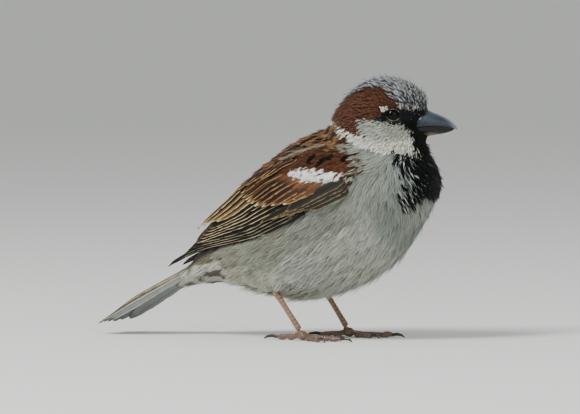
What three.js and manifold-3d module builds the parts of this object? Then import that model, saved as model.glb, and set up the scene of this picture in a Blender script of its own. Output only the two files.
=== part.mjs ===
// A life-size male house sparrow (Passer domesticus) standing at rest on a level floor.
// Millimetres: +X to the front of the body, +Y to the bird's left, +Z up. The origin is on the
// floor, under the middle of the bird's bounding box. The outline is that of the plumage.
import * as THREE from 'three';
import { LoftGeometry } from 'three/addons/geometries/LoftGeometry.js';
import { mergeVertices } from 'three/addons/utils/BufferGeometryUtils.js';
import Module from 'manifold-3d';

const wasm = await Module();
wasm.setup();

// ---------------------------------------------------------------- driving dimensions

const GAP = 0.3; // clearance between neighbouring solids
const REACH = 400; // wider than the whole bird
const BODY_PITCH = THREE.MathUtils.degToRad( 27 ); // back and tail rise forwards at this angle
const TAIL_ROOT = new THREE.Vector3( - 28.7, 0, 26.6 ); // where the tail leaves the trunk
const HEAD_TURN = THREE.MathUtils.degToRad( 14 ); // the head looks this far to the bird's left
const NECK_AXIS_X = 36.4; // the vertical line that the head turns about

const TRUNK_SIDES = 26;
const TRUNK_RINGS = 18;
const HEAD_SIDES = 24;
const HEAD_RINGS = 14;
const BACK_PINCH = 0.14; // how much the back narrows towards its crest, as a share of its width

// Trunk sections, square to the body line. along: distance forward of the tail root.
// top and bottom: heights of the plumage from the body line. half: half of the width.
const TRUNK_SECTIONS = [
	{ along: - 17, top: 1.6, bottom: - 3.0, half: 5.0 },
	{ along: - 12, top: 2.6, bottom: - 4.2, half: 6.6 },
	{ along: - 4, top: 5.0, bottom: - 7.0, half: 8.8 },
	{ along: 4, top: 9.6, bottom: - 11.4, half: 12.0 },
	{ along: 12, top: 13.4, bottom: - 19.0, half: 15.8 },
	{ along: 22, top: 16.6, bottom: - 26.8, half: 19.4 },
	{ along: 35, top: 21.8, bottom: - 31.2, half: 22.2 },
	{ along: 50, top: 23.6, bottom: - 32.8, half: 23.4 },
	{ along: 63, top: 21.6, bottom: - 30.6, half: 22.9 },
	{ along: 75, top: 15.5, bottom: - 24.0, half: 19.2 },
	{ along: 83, top: 8.6, bottom: - 18.6, half: 14.6 },
	{ along: 87.6, top: 1.4, bottom: - 13.6, half: 9.0 },
	{ along: 89.2, top: - 4.0, bottom: - 9.6, half: 3.6 },
];

// Head and neck sections, level slices. height: above the floor. front and back: reach from
// the neck axis. half: half of the width. taper: how much the front narrows. turn: share of
// HEAD_TURN that the slice has.
const HEAD_SECTIONS = [
	{ height: 50.0, back: 10.0, front: 8.0, half: 9.0, taper: 0.0, turn: 0.0 },
	{ height: 56.0, back: 20.0, front: 13.0, half: 15.0, taper: 0.0, turn: 0.2 },
	{ height: 62.3, back: 26.0, front: 15.6, half: 16.8, taper: 0.1, turn: 0.5 },
	{ height: 67.0, back: 24.4, front: 15.4, half: 14.2, taper: 0.18, turn: 0.8 },
	{ height: 71.0, back: 21.8, front: 14.4, half: 12.4, taper: 0.3, turn: 1 },
	{ height: 74.0, back: 20.4, front: 13.2, half: 11.6, taper: 0.38, turn: 1 },
	{ height: 77.5, back: 19.2, front: 14.6, half: 10.8, taper: 0.42, turn: 1 },
	{ height: 81.0, back: 16.6, front: 15.6, half: 10.2, taper: 0.38, turn: 1 },
	{ height: 84.3, back: 13.8, front: 14.8, half: 9.4, taper: 0.3, turn: 1 },
	{ height: 87.3, back: 10.6, front: 11.8, half: 8.0, taper: 0.2, turn: 1 },
	{ height: 89.6, back: 7.2, front: 8.0, half: 5.8, taper: 0.1, turn: 1 },
	{ height: 91.0, back: 2.8, front: 3.4, half: 2.4, taper: 0.0, turn: 1 },
];

// The cuts that part head, neck, trunk and rump, each through a point on the mid plane.
const HEAD_CUT = { x: 36, z: 72.6, pitch: THREE.MathUtils.degToRad( - 13 ) };
const NECK_CUT = { x: 30, z: 67.6, pitch: THREE.MathUtils.degToRad( - 14 ) };
const RUMP_CUT_ALONG = 7;
const FLOOR = { x: 0, z: 0, pitch: 0 };

// The bill, in the head's frame. reach: forward of the neck axis. low and high: heights.
const UPPER_BILL_SECTIONS = [
	{ reach: 9.6, low: 74.1, high: 77.4, half: 3.5 },
	{ reach: 12.4, low: 74.5, high: 79.6, half: 3.85 },
	{ reach: 14.9, low: 74.7, high: 80.2, half: 3.75 },
	{ reach: 18.6, low: 74.7, high: 79.2, half: 2.85 },
	{ reach: 21.7, low: 74.5, high: 77.5, half: 1.85 },
	{ reach: 23.9, low: 74.2, high: 75.7, half: 1.0 },
	{ reach: 25.5, low: 73.6, high: 74.2, half: 0.3 },
];
const LOWER_BILL_SECTIONS = [
	{ reach: 9.2, low: 71.2, high: 73.7, half: 3.2 },
	{ reach: 12.4, low: 70.8, high: 74.1, half: 3.55 },
	{ reach: 15.6, low: 70.8, high: 74.35, half: 3.35 },
	{ reach: 18.6, low: 71.2, high: 74.35, half: 2.6 },
	{ reach: 21.7, low: 72.1, high: 74.15, half: 1.65 },
	{ reach: 24.4, low: 73.2, high: 73.75, half: 0.5 },
];
const BILL_SIDES = 14;
const BILL_RINGS = 8;
const RIDGE_POWER = 0.3; // above 0 narrows the ridge of the bill
const PALATE = 0.12; // the hollow between the cutting edges, as a share of the bill's height

const EYE = { reach: 3.2, side: 5.8, height: 78.2, radius: 2.9 };
const EYE_SIDES = 14;
const EYE_RINGS = 9;
const SOCKET = { radius: 2.4, flare: 1.5, deep: 6, forward: 0.7 }; // the opening round the eye

// The folded wing, as a shell that bears on the trunk. The same kind of section as the
// trunk's: over the rump the two wings make a roof that stands clear of the back.
const WING_SECTIONS = [
	{ along: - 16, top: 9.4, bottom: - 6, half: 7.0 },
	{ along: 0, top: 14.0, bottom: - 10, half: 12.2 },
	{ along: 10, top: 16.6, bottom: - 16, half: 16.2 },
	{ along: 20, top: 18.8, bottom: - 25, half: 19.8 },
	{ along: 34, top: 22.6, bottom: - 31.5, half: 23.3 },
	{ along: 50, top: 24.2, bottom: - 33.4, half: 24.7 },
	{ along: 63, top: 22.2, bottom: - 31.8, half: 24.5 },
	{ along: 78, top: 14.2, bottom: - 25, half: 21.2 },
];
const WING_RINGS = 12;
const COVERT_DEPTH = 2.4;
const SECONDARY_DEPTH = 1.8;
const PRIMARY_DEPTH = 1.2;
const SHELL_RUN = 4; // a wing's inner form runs on this far, which leaves its shell open at both ends
const ROOM_OVER = 3; // the room for a wing reaches this far out of its outer face
const WING_STEP = 0.35; // each feather group lies this much lower than the one before it

// The folded wing from the side: along the body line, then height from it. Its upper edge
// is drawn from above instead: along the body line, then distance from the mid plane.
const WING_LOWER_EDGE = [
	[ 72.5, 4 ], [ 68, - 2.2 ], [ 61, - 4.8 ], [ 41, - 2.4 ], [ 18, 0.4 ], [ - 10.8, 5.1 ],
];
const WING_REAR_EDGE = [ [ - 0.3, 12.9 ], [ 4, 30 ] ];
const WING_FRONT_EDGE = [ [ 48, 30 ], [ 60, 21 ], [ 66, 15 ], [ 70, 10 ] ];
const WING_INNER_EDGE = [ [ 74, 20 ], [ 60, 14.6 ], [ 48, 11.6 ], [ 32, 6.4 ], [ 16, 1.4 ], [ 6, 0.6 ] ];
const PRIMARY_TIPS = 5; // primary tips that stand clear of each other, from the wing tip up
const PRIMARY_TIP_STEP = new THREE.Vector2( 2.9, 1.15 );
const TIP_CUT = { deep: 1.8, low: 0.1, high: 0.5 }; // the notch between two primary tips
const COVERT_EDGE = { from: [ 21.5, 16 ], to: [ 30, - 3 ] };
const PRIMARY_EDGE = { from: [ 40, 0.2 ], to: [ - 3, 9.4 ] };
const WING_SPAN = 60; // past the widest part of the wings, and past both of their ends
const OUTLINE_STEPS = 5;

// The folded tail of twelve feathers. back: distance behind its root. half: half of the width.
// arch: how much lower its edges are than its middle.
const TAIL_LENGTH = 48;
const TAIL_SECTIONS = [
	{ back: - 8, half: 4.0, thick: 1.4, arch: 0.9 },
	{ back: 8, half: 5.6, thick: 1.5, arch: 1.3 },
	{ back: 24, half: 7.4, thick: 1.3, arch: 1.3 },
	{ back: 38, half: 9.0, thick: 1.0, arch: 1.2 },
	{ back: TAIL_LENGTH, half: 9.8, thick: 0.7, arch: 1.1 },
];
const TAIL_STEP = 0.12;
const TAIL_NOTCH = { deep: 4.2, half: 8.8, past: 1, thick: 20 };
const TAIL_SIDES = 12;
const TAIL_RINGS = 9;

// Legs. Heel and foot are joint centres on the right side; the left leg stands further forward.
const HEEL = new THREE.Vector3( 0, - 13, 17.2 );
const FOOT = new THREE.Vector3( 10.2, - 12.4, 2.2 );
const LEFT_LEG_FORWARD = 7;
const THIGH_TOP = new THREE.Vector3( 4.5, - 9.0, 28 );
const THIGH_RADII = [ 7.5, 6.8, 5.0, 2.3 ];
const THIGH_STATIONS = [ 0, 0.35, 0.7, 1 ];
const THIGH_SIDES = 14;
const THIGH_PAST_HEEL = 1.4;
const THIGH_DEPTH = 2.6; // how far the thigh feathers reach in under the belly plumage
const TARSUS_RADII = [ 1.35, 1.05, 0.95, 1.0, 1.2 ];
const TARSUS_SIDES = 10;
const FOOT_RADIUS = 1.75;
const FOOT_STRETCH = 0.05; // longer and narrower than a ball by this share
const FOOT_DROP = 0.35; // the ball's middle lies this far under the joint
const FOOT_SIDES = 10;
const FOOT_RINGS = 7;

// Toes spread from the foot: heading from straight ahead, positive towards the body's middle.
const TOES = [
	{ name: 'hind', heading: 172, length: 8.2, radius: 1.0, claw: 5.6 },
	{ name: 'inner', heading: 24, length: 9.6, radius: 0.85, claw: 4.0 },
	{ name: 'middle', heading: - 8, length: 13.6, radius: 0.95, claw: 4.6 },
	{ name: 'outer', heading: - 38, length: 10.4, radius: 0.85, claw: 4.0 },
];
const TOE_START = 1.9; // from the foot joint to the first knuckle
const TOE_RISE = [ 0.9, 0.25, 0.45, 0.1, 0.15 ]; // of the toe's middle line, from its root to its end
const TOE_SWELL = [ 0.95, 1.12, 0.9, 1.08, 0.86 ]; // pads and joints, as shares of the radius
const TOE_SINK = 0.82; // below 1 presses the pads flat on the floor
const TOE_SIDES = 8;
// A claw from its root to its tip, which stays a little off the floor: share of its length, height.
const CLAW_CURVE = [ [ 0, 1.05 ], [ 0.35, 1.3 ], [ 0.7, 1.0 ], [ 0.95, 0.24 ] ];
const CLAW_RADII = [ 0.55, 0.5, 0.36, 0.12 ];
const CLAW_SIDES = 6;

// ---------------------------------------------------------------- materials

const finish = ( color, roughness ) => new THREE.MeshStandardMaterial( { color, roughness, metalness: 0 } );
const CHESTNUT = finish( 0x6b3a28, 0.8 );
const PALE_GREY = finish( 0xb9b8ae, 0.85 );
const BROWN = finish( 0x8a6244, 0.8 );
const DARK_BROWN = finish( 0x3d342c, 0.7 );
const TAIL_GREY = finish( 0x6e675e, 0.7 );
const BILL_BLACK = finish( 0x2e2f36, 0.4 );
const EYE_BLACK = finish( 0x0a0706, 0.05 );
const LEG_PINK = finish( 0x9a6a52, 0.5 );
const CLAW_BROWN = finish( 0x3a241c, 0.4 );

// ---------------------------------------------------------------- solids

/** A closed geometry as a solid that can be cut and joined. */
function solid( geometry ) {

	const bare = new THREE.BufferGeometry();
	const source = geometry.index ? geometry.toNonIndexed() : geometry;
	bare.setAttribute( 'position', source.getAttribute( 'position' ) );
	const merged = mergeVertices( bare, 1e-4 );
	return new wasm.Manifold( new wasm.Mesh( {
		numProp: 3,
		vertProperties: merged.attributes.position.array,
		triVerts: new Uint32Array( merged.index.array ),
	} ) );

}

/** A solid as a named mesh. */
function piece( name, shape, material ) {

	const mesh = shape.getMesh();
	const points = new Float32Array( mesh.numVert * 3 );
	for ( let i = 0; i < mesh.numVert; i ++ ) {

		points.set( mesh.vertProperties.subarray( i * mesh.numProp, i * mesh.numProp + 3 ), i * 3 );

	}

	const geometry = new THREE.BufferGeometry();
	geometry.setAttribute( 'position', new THREE.BufferAttribute( points, 3 ) );
	geometry.setIndex( new THREE.BufferAttribute( mesh.triVerts, 1 ) );
	geometry.computeVertexNormals();
	const made = new THREE.Mesh( geometry, material );
	made.name = name;
	return made;

}

/** Sections at even steps of one key, eased smoothly between the given ones. */
function refine( sections, key, count ) {

	const fields = Object.keys( sections[ 0 ] ).filter( ( field ) => field !== key );
	const places = sections.map( ( section ) => section[ key ] );
	const values = sections.flatMap( ( section ) => fields.map( ( field ) => section[ field ] ) );
	const curve = new THREE.CubicInterpolant( places, values, fields.length );
	const first = places[ 0 ];
	const last = places[ places.length - 1 ];
	// The last steps are finer, so that the end closes in a round nose.
	return Array.from( { length: count }, ( _, i ) => {

		const share = Math.sin( i / ( count - 1 ) * Math.PI / 2 ) * 0.5 + i / ( count - 1 ) * 0.5;
		const place = first + ( last - first ) * share;
		const found = Array.from( curve.evaluate( place ) );
		return Object.fromEntries( [ [ key, place ], ...fields.map( ( field, k ) => [ field, found[ k ] ] ) ] );

	} );

}

/** A closed solid through rings of points. */
function loft( rings ) {

	return solid( new LoftGeometry( rings, { capStart: true, capEnd: true } ) );

}

/** A point given along the body line, to the left of it, and square above it. */
function onBody( along, side, up ) {

	return new THREE.Vector3(
		TAIL_ROOT.x + along * Math.cos( BODY_PITCH ) - up * Math.sin( BODY_PITCH ),
		side,
		TAIL_ROOT.z + along * Math.sin( BODY_PITCH ) + up * Math.cos( BODY_PITCH ),
	);

}

/** A point of the head's frame, turned about the neck axis by a share of the head's turn. */
function onHead( reach, side, height, share = 1 ) {

	const turn = HEAD_TURN * share;
	return new THREE.Vector3(
		NECK_AXIS_X + reach * Math.cos( turn ) - side * Math.sin( turn ),
		reach * Math.sin( turn ) + side * Math.cos( turn ),
		height,
	);

}

/** Evenly spaced angles once round. */
function round( sides ) {

	return Array.from( { length: sides }, ( _, i ) => i / sides * Math.PI * 2 );

}

/** Rings square to the body line, from sections with top, bottom and half. */
function bodyRings( sections, count, sides, grow = 0 ) {

	return refine( sections, 'along', count ).map( ( { along, top, bottom, half } ) => {

		const middle = ( top + bottom ) / 2;
		const radius = Math.max( ( top - bottom ) / 2 + grow, 0.2 );
		const width = Math.max( half + grow, 0.2 );
		return round( sides ).map( ( a ) => {

			const rise = Math.sin( a );
			const pinch = rise > 0 ? 1 - BACK_PINCH * rise * rise : 1;
			return onBody( along, width * Math.cos( a ) * pinch, middle + radius * rise );

		} );

	} );

}

/** Level egg-shaped rings of the head and neck. */
function headRings() {

	return refine( HEAD_SECTIONS, 'height', HEAD_RINGS ).map( ( s ) => round( HEAD_SIDES ).map( ( a ) => {

		const reach = Math.cos( a ) * ( Math.cos( a ) > 0 ? s.front : s.back );
		const side = s.half * Math.sin( a ) * ( 1 - s.taper * Math.cos( a ) );
		return onHead( reach, side, s.height, s.turn );

	} ) );

}

/** Everything on the side of a plane that its normal points to. */
function halfSpace( point, normal ) {

	const box = new THREE.BoxGeometry( REACH, REACH, REACH ).translate( 0, 0, REACH / 2 );
	const up = new THREE.Vector3( 0, 0, 1 );
	box.applyQuaternion( new THREE.Quaternion().setFromUnitVectors( up, normal.clone().normalize() ) );
	return solid( box.translate( point.x, point.y, point.z ) );

}

/** The space above a cut that runs across the mid plane at a pitch, moved up by a shift. */
function above( cut, shift = 0 ) {

	const normal = new THREE.Vector3( - Math.sin( cut.pitch ), 0, Math.cos( cut.pitch ) );
	return halfSpace( new THREE.Vector3( cut.x, 0, cut.z ).addScaledVector( normal, shift ), normal );

}

/** The space below a cut, moved down by a shift. */
function below( cut, shift = 0 ) {

	const normal = new THREE.Vector3( Math.sin( cut.pitch ), 0, - Math.cos( cut.pitch ) );
	return halfSpace( new THREE.Vector3( cut.x, 0, cut.z ).addScaledVector( normal, shift ), normal );

}

// ---------------------------------------------------------------- trunk, neck and head

/** The feathered body in one piece, from the undertail coverts to the crown. */
function wholeBody() {

	const trunk = loft( bodyRings( TRUNK_SECTIONS, TRUNK_RINGS, TRUNK_SIDES ) );
	return trunk.add( loft( headRings() ) );

}

/** One half of the bill. upper: the maxilla, whose ridge is on top, or else the mandible. */
function billHalf( sections, grow, upper ) {

	const last = BILL_RINGS - 1;
	const rings = refine( sections, 'reach', BILL_RINGS ).map( ( { reach, low, high, half }, i ) => {

		const [ edge, ridge ] = upper ? [ low, high ] : [ high, low ];
		const out = Math.sign( ridge - edge );
		const reachOut = i === 0 ? - grow : i === last ? grow : 0;
		const palate = grow ? 0 : ( ridge - edge ) * PALATE;
		return round( BILL_SIDES ).map( ( a ) => {

			const rise = Math.sin( a ) * out;
			const narrow = rise > 0 ? Math.pow( Math.abs( Math.cos( a ) ), RIDGE_POWER ) : 1;
			const height = rise > 0 ? ( ridge - edge + 2 * out * grow ) * rise : - palate * rise;
			return onHead( reach + reachOut, ( half + grow ) * Math.cos( a ) * narrow, edge - out * grow + height );

		} );

	} );
	return loft( rings );

}

/** The ball of an eye. */
function eyeball( side, grow = 0 ) {

	const at = onHead( EYE.reach, side * EYE.side, EYE.height );
	const ball = new THREE.SphereGeometry( EYE.radius + grow, EYE_SIDES, EYE_RINGS );
	return solid( ball.rotateX( Math.PI / 2 ).translate( at.x, at.y, at.z ) );

}

/** The round opening in the face that the eye looks out of. */
function eyeSocket( side ) {

	const inner = onHead( EYE.reach, side * EYE.side, EYE.height );
	const outer = onHead( EYE.reach + SOCKET.forward, side * ( EYE.side + SOCKET.deep ), EYE.height );
	const way = outer.clone().sub( inner ).normalize();
	const cone = new THREE.CylinderGeometry( SOCKET.radius * SOCKET.flare, SOCKET.radius, SOCKET.deep, 18 );
	cone.translate( 0, SOCKET.deep / 2, 0 );
	const turn = new THREE.Quaternion().setFromUnitVectors( new THREE.Vector3( 0, 1, 0 ), way );
	return solid( cone.applyQuaternion( turn ).translate( inner.x, inner.y, inner.z ) );

}

// ---------------------------------------------------------------- wings

/** A geometry drawn in plain axes, moved point by point. mirrored: the move swaps handedness. */
function redrawn( geometry, move, mirrored ) {

	const loose = geometry.index ? geometry.toNonIndexed() : geometry;
	const place = loose.getAttribute( 'position' );
	const points = Array.from( { length: place.count }, ( _, i ) => {

		return move( place.getX( i ), place.getY( i ), place.getZ( i ) );

	} );
	points.forEach( ( p, i ) => {

		// A mirrored triangle has its first two corners swapped, so that it still faces out.
		const swap = mirrored && i % 3 < 2 ? 1 - 2 * ( i % 3 ) : 0;
		place.setXYZ( i + swap, p.x, p.y, p.z );

	} );
	return solid( loose );

}

/** A side outline in the body line's plane, as a prism on one side of the mid plane. */
function sidePrism( outline, side ) {

	const options = { depth: WING_SPAN, bevelEnabled: false, curveSegments: OUTLINE_STEPS };
	const geometry = new THREE.ExtrudeGeometry( outline, options );
	const start = side < 0 ? - WING_SPAN : 0;
	return redrawn( geometry, ( x, y, z ) => onBody( x, start + z, y ), true );

}

/** The space outside the wing's inner edge as seen from above. grow: how much nearer the middle. */
function outsideInnerEdge( side, grow ) {

	const edge = WING_INNER_EDGE.map( ( [ along, out ] ) => new THREE.Vector2( along, out - grow ) );
	const rear = edge[ edge.length - 1 ];
	const shape = new THREE.Shape();
	shape.moveTo( edge[ 0 ].x + WING_SPAN, WING_SPAN );
	shape.lineTo( edge[ 0 ].x + WING_SPAN, edge[ 0 ].y );
	shape.lineTo( edge[ 0 ].x, edge[ 0 ].y );
	shape.splineThru( edge.slice( 1 ) );
	shape.lineTo( rear.x - WING_SPAN, rear.y );
	shape.lineTo( rear.x - WING_SPAN, WING_SPAN );
	const options = { depth: 2 * WING_SPAN, bevelEnabled: false, curveSegments: OUTLINE_STEPS };
	const geometry = new THREE.ExtrudeGeometry( shape, options );
	return redrawn( geometry, ( x, y, z ) => onBody( x, side * y, z - WING_SPAN ), side < 0 );

}

/** The whole folded wing from the side, with stepped primary tips, open at the top. */
function wingOutline( grow = 0 ) {

	const shape = new THREE.Shape();
	const [ bend, ...lower ] = WING_LOWER_EDGE.map( ( [ along, up ] ) => new THREE.Vector2( along, up - grow ) );
	shape.moveTo( bend.x + grow, bend.y );
	shape.splineThru( lower );
	const tip = lower[ lower.length - 1 ];
	for ( let i = 1; i < PRIMARY_TIPS; i ++ ) {

		const next = tip.clone().addScaledVector( PRIMARY_TIP_STEP, i );
		shape.lineTo( next.x + TIP_CUT.deep, next.y + TIP_CUT.low + grow );
		shape.lineTo( next.x, next.y + TIP_CUT.high + grow );

	}

	for ( const [ along, up ] of WING_REAR_EDGE ) shape.lineTo( along - grow, up );
	for ( const [ along, up ] of WING_FRONT_EDGE ) shape.lineTo( along + grow, up );
	shape.lineTo( bend.x + grow, bend.y );
	return shape;

}

/** The space above and in front of a line in the body line's plane, or the other side of it. */
function wingSide( edge, shift, sign ) {

	const from = onBody( edge.from[ 0 ], 0, edge.from[ 1 ] );
	const along = onBody( edge.to[ 0 ], 0, edge.to[ 1 ] ).sub( from ).normalize();
	const normal = new THREE.Vector3( - along.z, 0, along.x ).multiplyScalar( sign );
	return halfSpace( from.addScaledVector( normal, shift ), normal );

}

/** The wing's form at a distance under its outer face. longer: how much further it runs at both ends. */
function wingForm( sunk, longer = 0 ) {

	const rings = bodyRings( WING_SECTIONS, WING_RINGS, TRUNK_SIDES, - sunk );
	const forward = onBody( longer, 0, 0 ).sub( TAIL_ROOT );
	rings[ 0 ].forEach( ( p ) => p.sub( forward ) );
	rings[ rings.length - 1 ].forEach( ( p ) => p.add( forward ) );
	return loft( rings );

}

/** The three visible groups of one folded wing, as shells inside its outline. */
function wingSolids( side ) {

	const outline = sidePrism( wingOutline(), side ).intersect( outsideInnerEdge( side, 0 ) );
	const rear = outline.intersect( wingSide( COVERT_EDGE, GAP, - 1 ) );
	const group = ( space, sunk, deep ) => {

		return space.intersect( wingForm( sunk ) ).subtract( wingForm( sunk + deep, SHELL_RUN ) );

	};

	return {
		coverts: group( outline.intersect( wingSide( COVERT_EDGE, 0, 1 ) ), 0, COVERT_DEPTH ),
		secondaries: group( rear.intersect( wingSide( PRIMARY_EDGE, 0, - 1 ) ), WING_STEP, SECONDARY_DEPTH ),
		primaries: group( rear.intersect( wingSide( PRIMARY_EDGE, GAP, 1 ) ), 2 * WING_STEP, PRIMARY_DEPTH ),
	};

}

/** The room that one wing needs in the trunk. */
function wingRoom( side ) {

	const shell = wingForm( - ROOM_OVER ).subtract( wingForm( COVERT_DEPTH + GAP, SHELL_RUN ) );
	return shell.intersect( sidePrism( wingOutline( GAP ), side ) ).intersect( outsideInnerEdge( side, GAP ) );

}

// ---------------------------------------------------------------- tail

/** The folded tail, arched across and notched at its end. A grown one has no notch. */
function tail( grow = 0 ) {

	const across = Array.from( { length: TAIL_SIDES + 1 }, ( _, i ) => - 1 + 2 * i / TAIL_SIDES );
	const rings = refine( TAIL_SECTIONS, 'back', TAIL_RINGS ).map( ( { back, half, thick, arch } ) => {

		// Each feather edge stands a little over the next, so the top is finely stepped.
		const upper = across.map( ( v, i ) => [ v, thick / 2 + ( i % 2 ? TAIL_STEP : - TAIL_STEP ) + grow ] );
		const lower = across.toReversed().map( ( v ) => [ v, - thick / 2 - grow ] );
		const outline = [ ...upper, ...lower ];
		return outline.map( ( [ v, rise ] ) => onBody( - back, ( half + grow ) * v, rise - arch * v * v ) );

	} );
	const whole = loft( rings );
	if ( grow ) return whole;
	const notch = new THREE.Shape( [
		new THREE.Vector2( - TAIL_LENGTH + TAIL_NOTCH.deep, 0 ),
		new THREE.Vector2( - TAIL_LENGTH - TAIL_NOTCH.past, TAIL_NOTCH.half ),
		new THREE.Vector2( - TAIL_LENGTH - TAIL_NOTCH.past, - TAIL_NOTCH.half ),
	] );
	const wedge = new THREE.ExtrudeGeometry( notch, { depth: TAIL_NOTCH.thick, bevelEnabled: false } );
	wedge.translate( 0, 0, - TAIL_NOTCH.thick / 2 );
	return whole.subtract( redrawn( wedge, onBody, false ) );

}

// ---------------------------------------------------------------- legs

/** A round limb along a smooth path, with one ring for each radius. */
function limb( path, radii, sides, grow = 0 ) {

	const curve = new THREE.CatmullRomCurve3( path );
	const rings = radii.map( ( radius, i ) => {

		const share = i / ( radii.length - 1 );
		const at = curve.getPoint( share );
		const way = curve.getTangent( share );
		const across = new THREE.Vector3( - way.y, way.x, 0 ).normalize();
		const rise = new THREE.Vector3().crossVectors( way, across );
		return round( sides ).map( ( a ) => {

			const out = across.clone().multiplyScalar( Math.cos( a ) ).addScaledVector( rise, Math.sin( a ) );
			return at.clone().addScaledVector( out, radius + grow );

		} );

	} );
	return loft( rings );

}

/** Moves a right leg point to the leg on this side. */
function onLeg( point, side ) {

	return side < 0 ? point.clone() : new THREE.Vector3( point.x + LEFT_LEG_FORWARD, - point.y, point.z );

}

/** The feathered thigh: the part of a tapering limb that shows below the belly plumage. */
function thigh( side, grow = 0 ) {

	const way = HEEL.clone().sub( THIGH_TOP ).normalize();
	const end = HEEL.clone().addScaledVector( way, THIGH_PAST_HEEL + grow );
	const path = THIGH_STATIONS.map( ( t ) => onLeg( THIGH_TOP.clone().lerp( end, t ), side ) );
	const belly = loft( bodyRings( TRUNK_SECTIONS, TRUNK_RINGS, TRUNK_SIDES, - THIGH_DEPTH - grow ) );
	return limb( path, THIGH_RADII, THIGH_SIDES, grow ).subtract( belly );

}

/** The bare shank from the heel to the foot. A grown one runs on at both ends. */
function tarsus( side, grow = 0 ) {

	const way = FOOT.clone().sub( HEEL ).normalize();
	const start = HEEL.clone().addScaledVector( way, - grow );
	const end = FOOT.clone().addScaledVector( way, grow - FOOT_RADIUS - GAP );
	const path = [ 0, 0.5, 1 ].map( ( t ) => onLeg( start.clone().lerp( end, t ), side ) );
	return limb( path, TARSUS_RADII, TARSUS_SIDES, grow );

}

/** The joint that carries the toes. */
function footJoint( side, grow = 0 ) {

	const at = onLeg( FOOT, side );
	const ball = new THREE.SphereGeometry( FOOT_RADIUS + grow, FOOT_SIDES, FOOT_RINGS );
	ball.scale( 1 + FOOT_STRETCH, 1 - FOOT_STRETCH, 1 );
	return solid( ball.translate( at.x, at.y, at.z - FOOT_DROP ) );

}

/** The direction of a toe on the floor. */
function toeHeading( toe, side ) {

	const a = THREE.MathUtils.degToRad( toe.heading );
	return new THREE.Vector3( Math.cos( a ), - side * Math.sin( a ), 0 );

}

/** A toe with swollen pads, flat under each, from the foot joint to the claw. */
function toe( form, side, grow = 0 ) {

	const way = toeHeading( form, side );
	const from = onLeg( FOOT, side ).setZ( form.radius * TOE_SINK ).addScaledVector( way, TOE_START );
	const last = TOE_RISE.length - 1;
	const path = TOE_RISE.map( ( rise, i ) => from.clone().addScaledVector( way, form.length * i / last ) );
	path.forEach( ( p, i ) => p.setZ( p.z + TOE_RISE[ i ] ) );
	const whole = limb( path, TOE_SWELL.map( ( swell ) => form.radius * swell ), TOE_SIDES, grow );
	return whole.intersect( above( FLOOR, - grow ) );

}

/** A curved claw that starts at the toe's end and comes down almost to the floor. */
function claw( form, side ) {

	const way = toeHeading( form, side );
	const start = onLeg( FOOT, side ).addScaledVector( way, TOE_START + form.length + GAP );
	const path = CLAW_CURVE.map( ( [ share, height ] ) => {

		return start.clone().addScaledVector( way, form.claw * share ).setZ( height );

	} );
	return limb( path, CLAW_RADII, CLAW_SIDES );

}

// ---------------------------------------------------------------- the bird

/** The head, neck, trunk and rump, parted by thin cuts and cut back from their neighbours. */
function bodySolids( sides ) {

	const body = wholeBody();
	const forward = onBody( 1, 0, 0 ).sub( TAIL_ROOT );
	const ahead = halfSpace( onBody( RUMP_CUT_ALONG + GAP, 0, 0 ), forward );
	const solids = {
		head: body.intersect( above( HEAD_CUT ) ),
		neck: body.intersect( below( HEAD_CUT, GAP ) ).intersect( above( NECK_CUT ) ),
		trunk: body.intersect( below( NECK_CUT, GAP ) ).intersect( ahead ),
		rump: body.intersect( halfSpace( onBody( RUMP_CUT_ALONG, 0, 0 ), forward.clone().negate() ) ),
	};
	const upperRoom = billHalf( UPPER_BILL_SECTIONS, GAP, true );
	const lowerRoom = billHalf( LOWER_BILL_SECTIONS, GAP, false );
	solids.head = solids.head.subtract( upperRoom ).subtract( lowerRoom );
	solids.neck = solids.neck.subtract( lowerRoom );
	solids.rump = solids.rump.subtract( tail( GAP ) );
	solids.trunk = solids.trunk.subtract( tail( GAP ) );
	for ( const [ , side ] of sides ) {

		const wing = wingRoom( side );
		solids.head = solids.head.subtract( eyeball( side, GAP ) ).subtract( eyeSocket( side ) );
		solids.neck = solids.neck.subtract( wing );
		solids.rump = solids.rump.subtract( wing );
		solids.trunk = solids.trunk.subtract( wing ).subtract( thigh( side, GAP ) ).subtract( tarsus( side, GAP ) );

	}

	return solids;

}

/** The pieces of one leg, from the thigh to the claws. */
function legPieces( name, side ) {

	const middle = TOES.find( ( form ) => form.name === 'middle' );
	const joint = footJoint( side, GAP );
	const besideMiddle = joint.add( toe( middle, side, GAP ) );
	const pieces = [
		piece( `thigh_${ name }`, thigh( side ).subtract( tarsus( side, GAP ) ), PALE_GREY ),
		piece( `tarsus_${ name }`, tarsus( side ), LEG_PINK ),
		piece( `foot_${ name }`, footJoint( side ), LEG_PINK ),
	];
	for ( const form of TOES ) {

		const room = form === middle ? joint : besideMiddle;
		pieces.push( piece( `toe_${ name }_${ form.name }`, toe( form, side ).subtract( room ), LEG_PINK ) );
		pieces.push( piece( `claw_${ name }_${ form.name }`, claw( form, side ), CLAW_BROWN ) );

	}

	return pieces;

}

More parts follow.
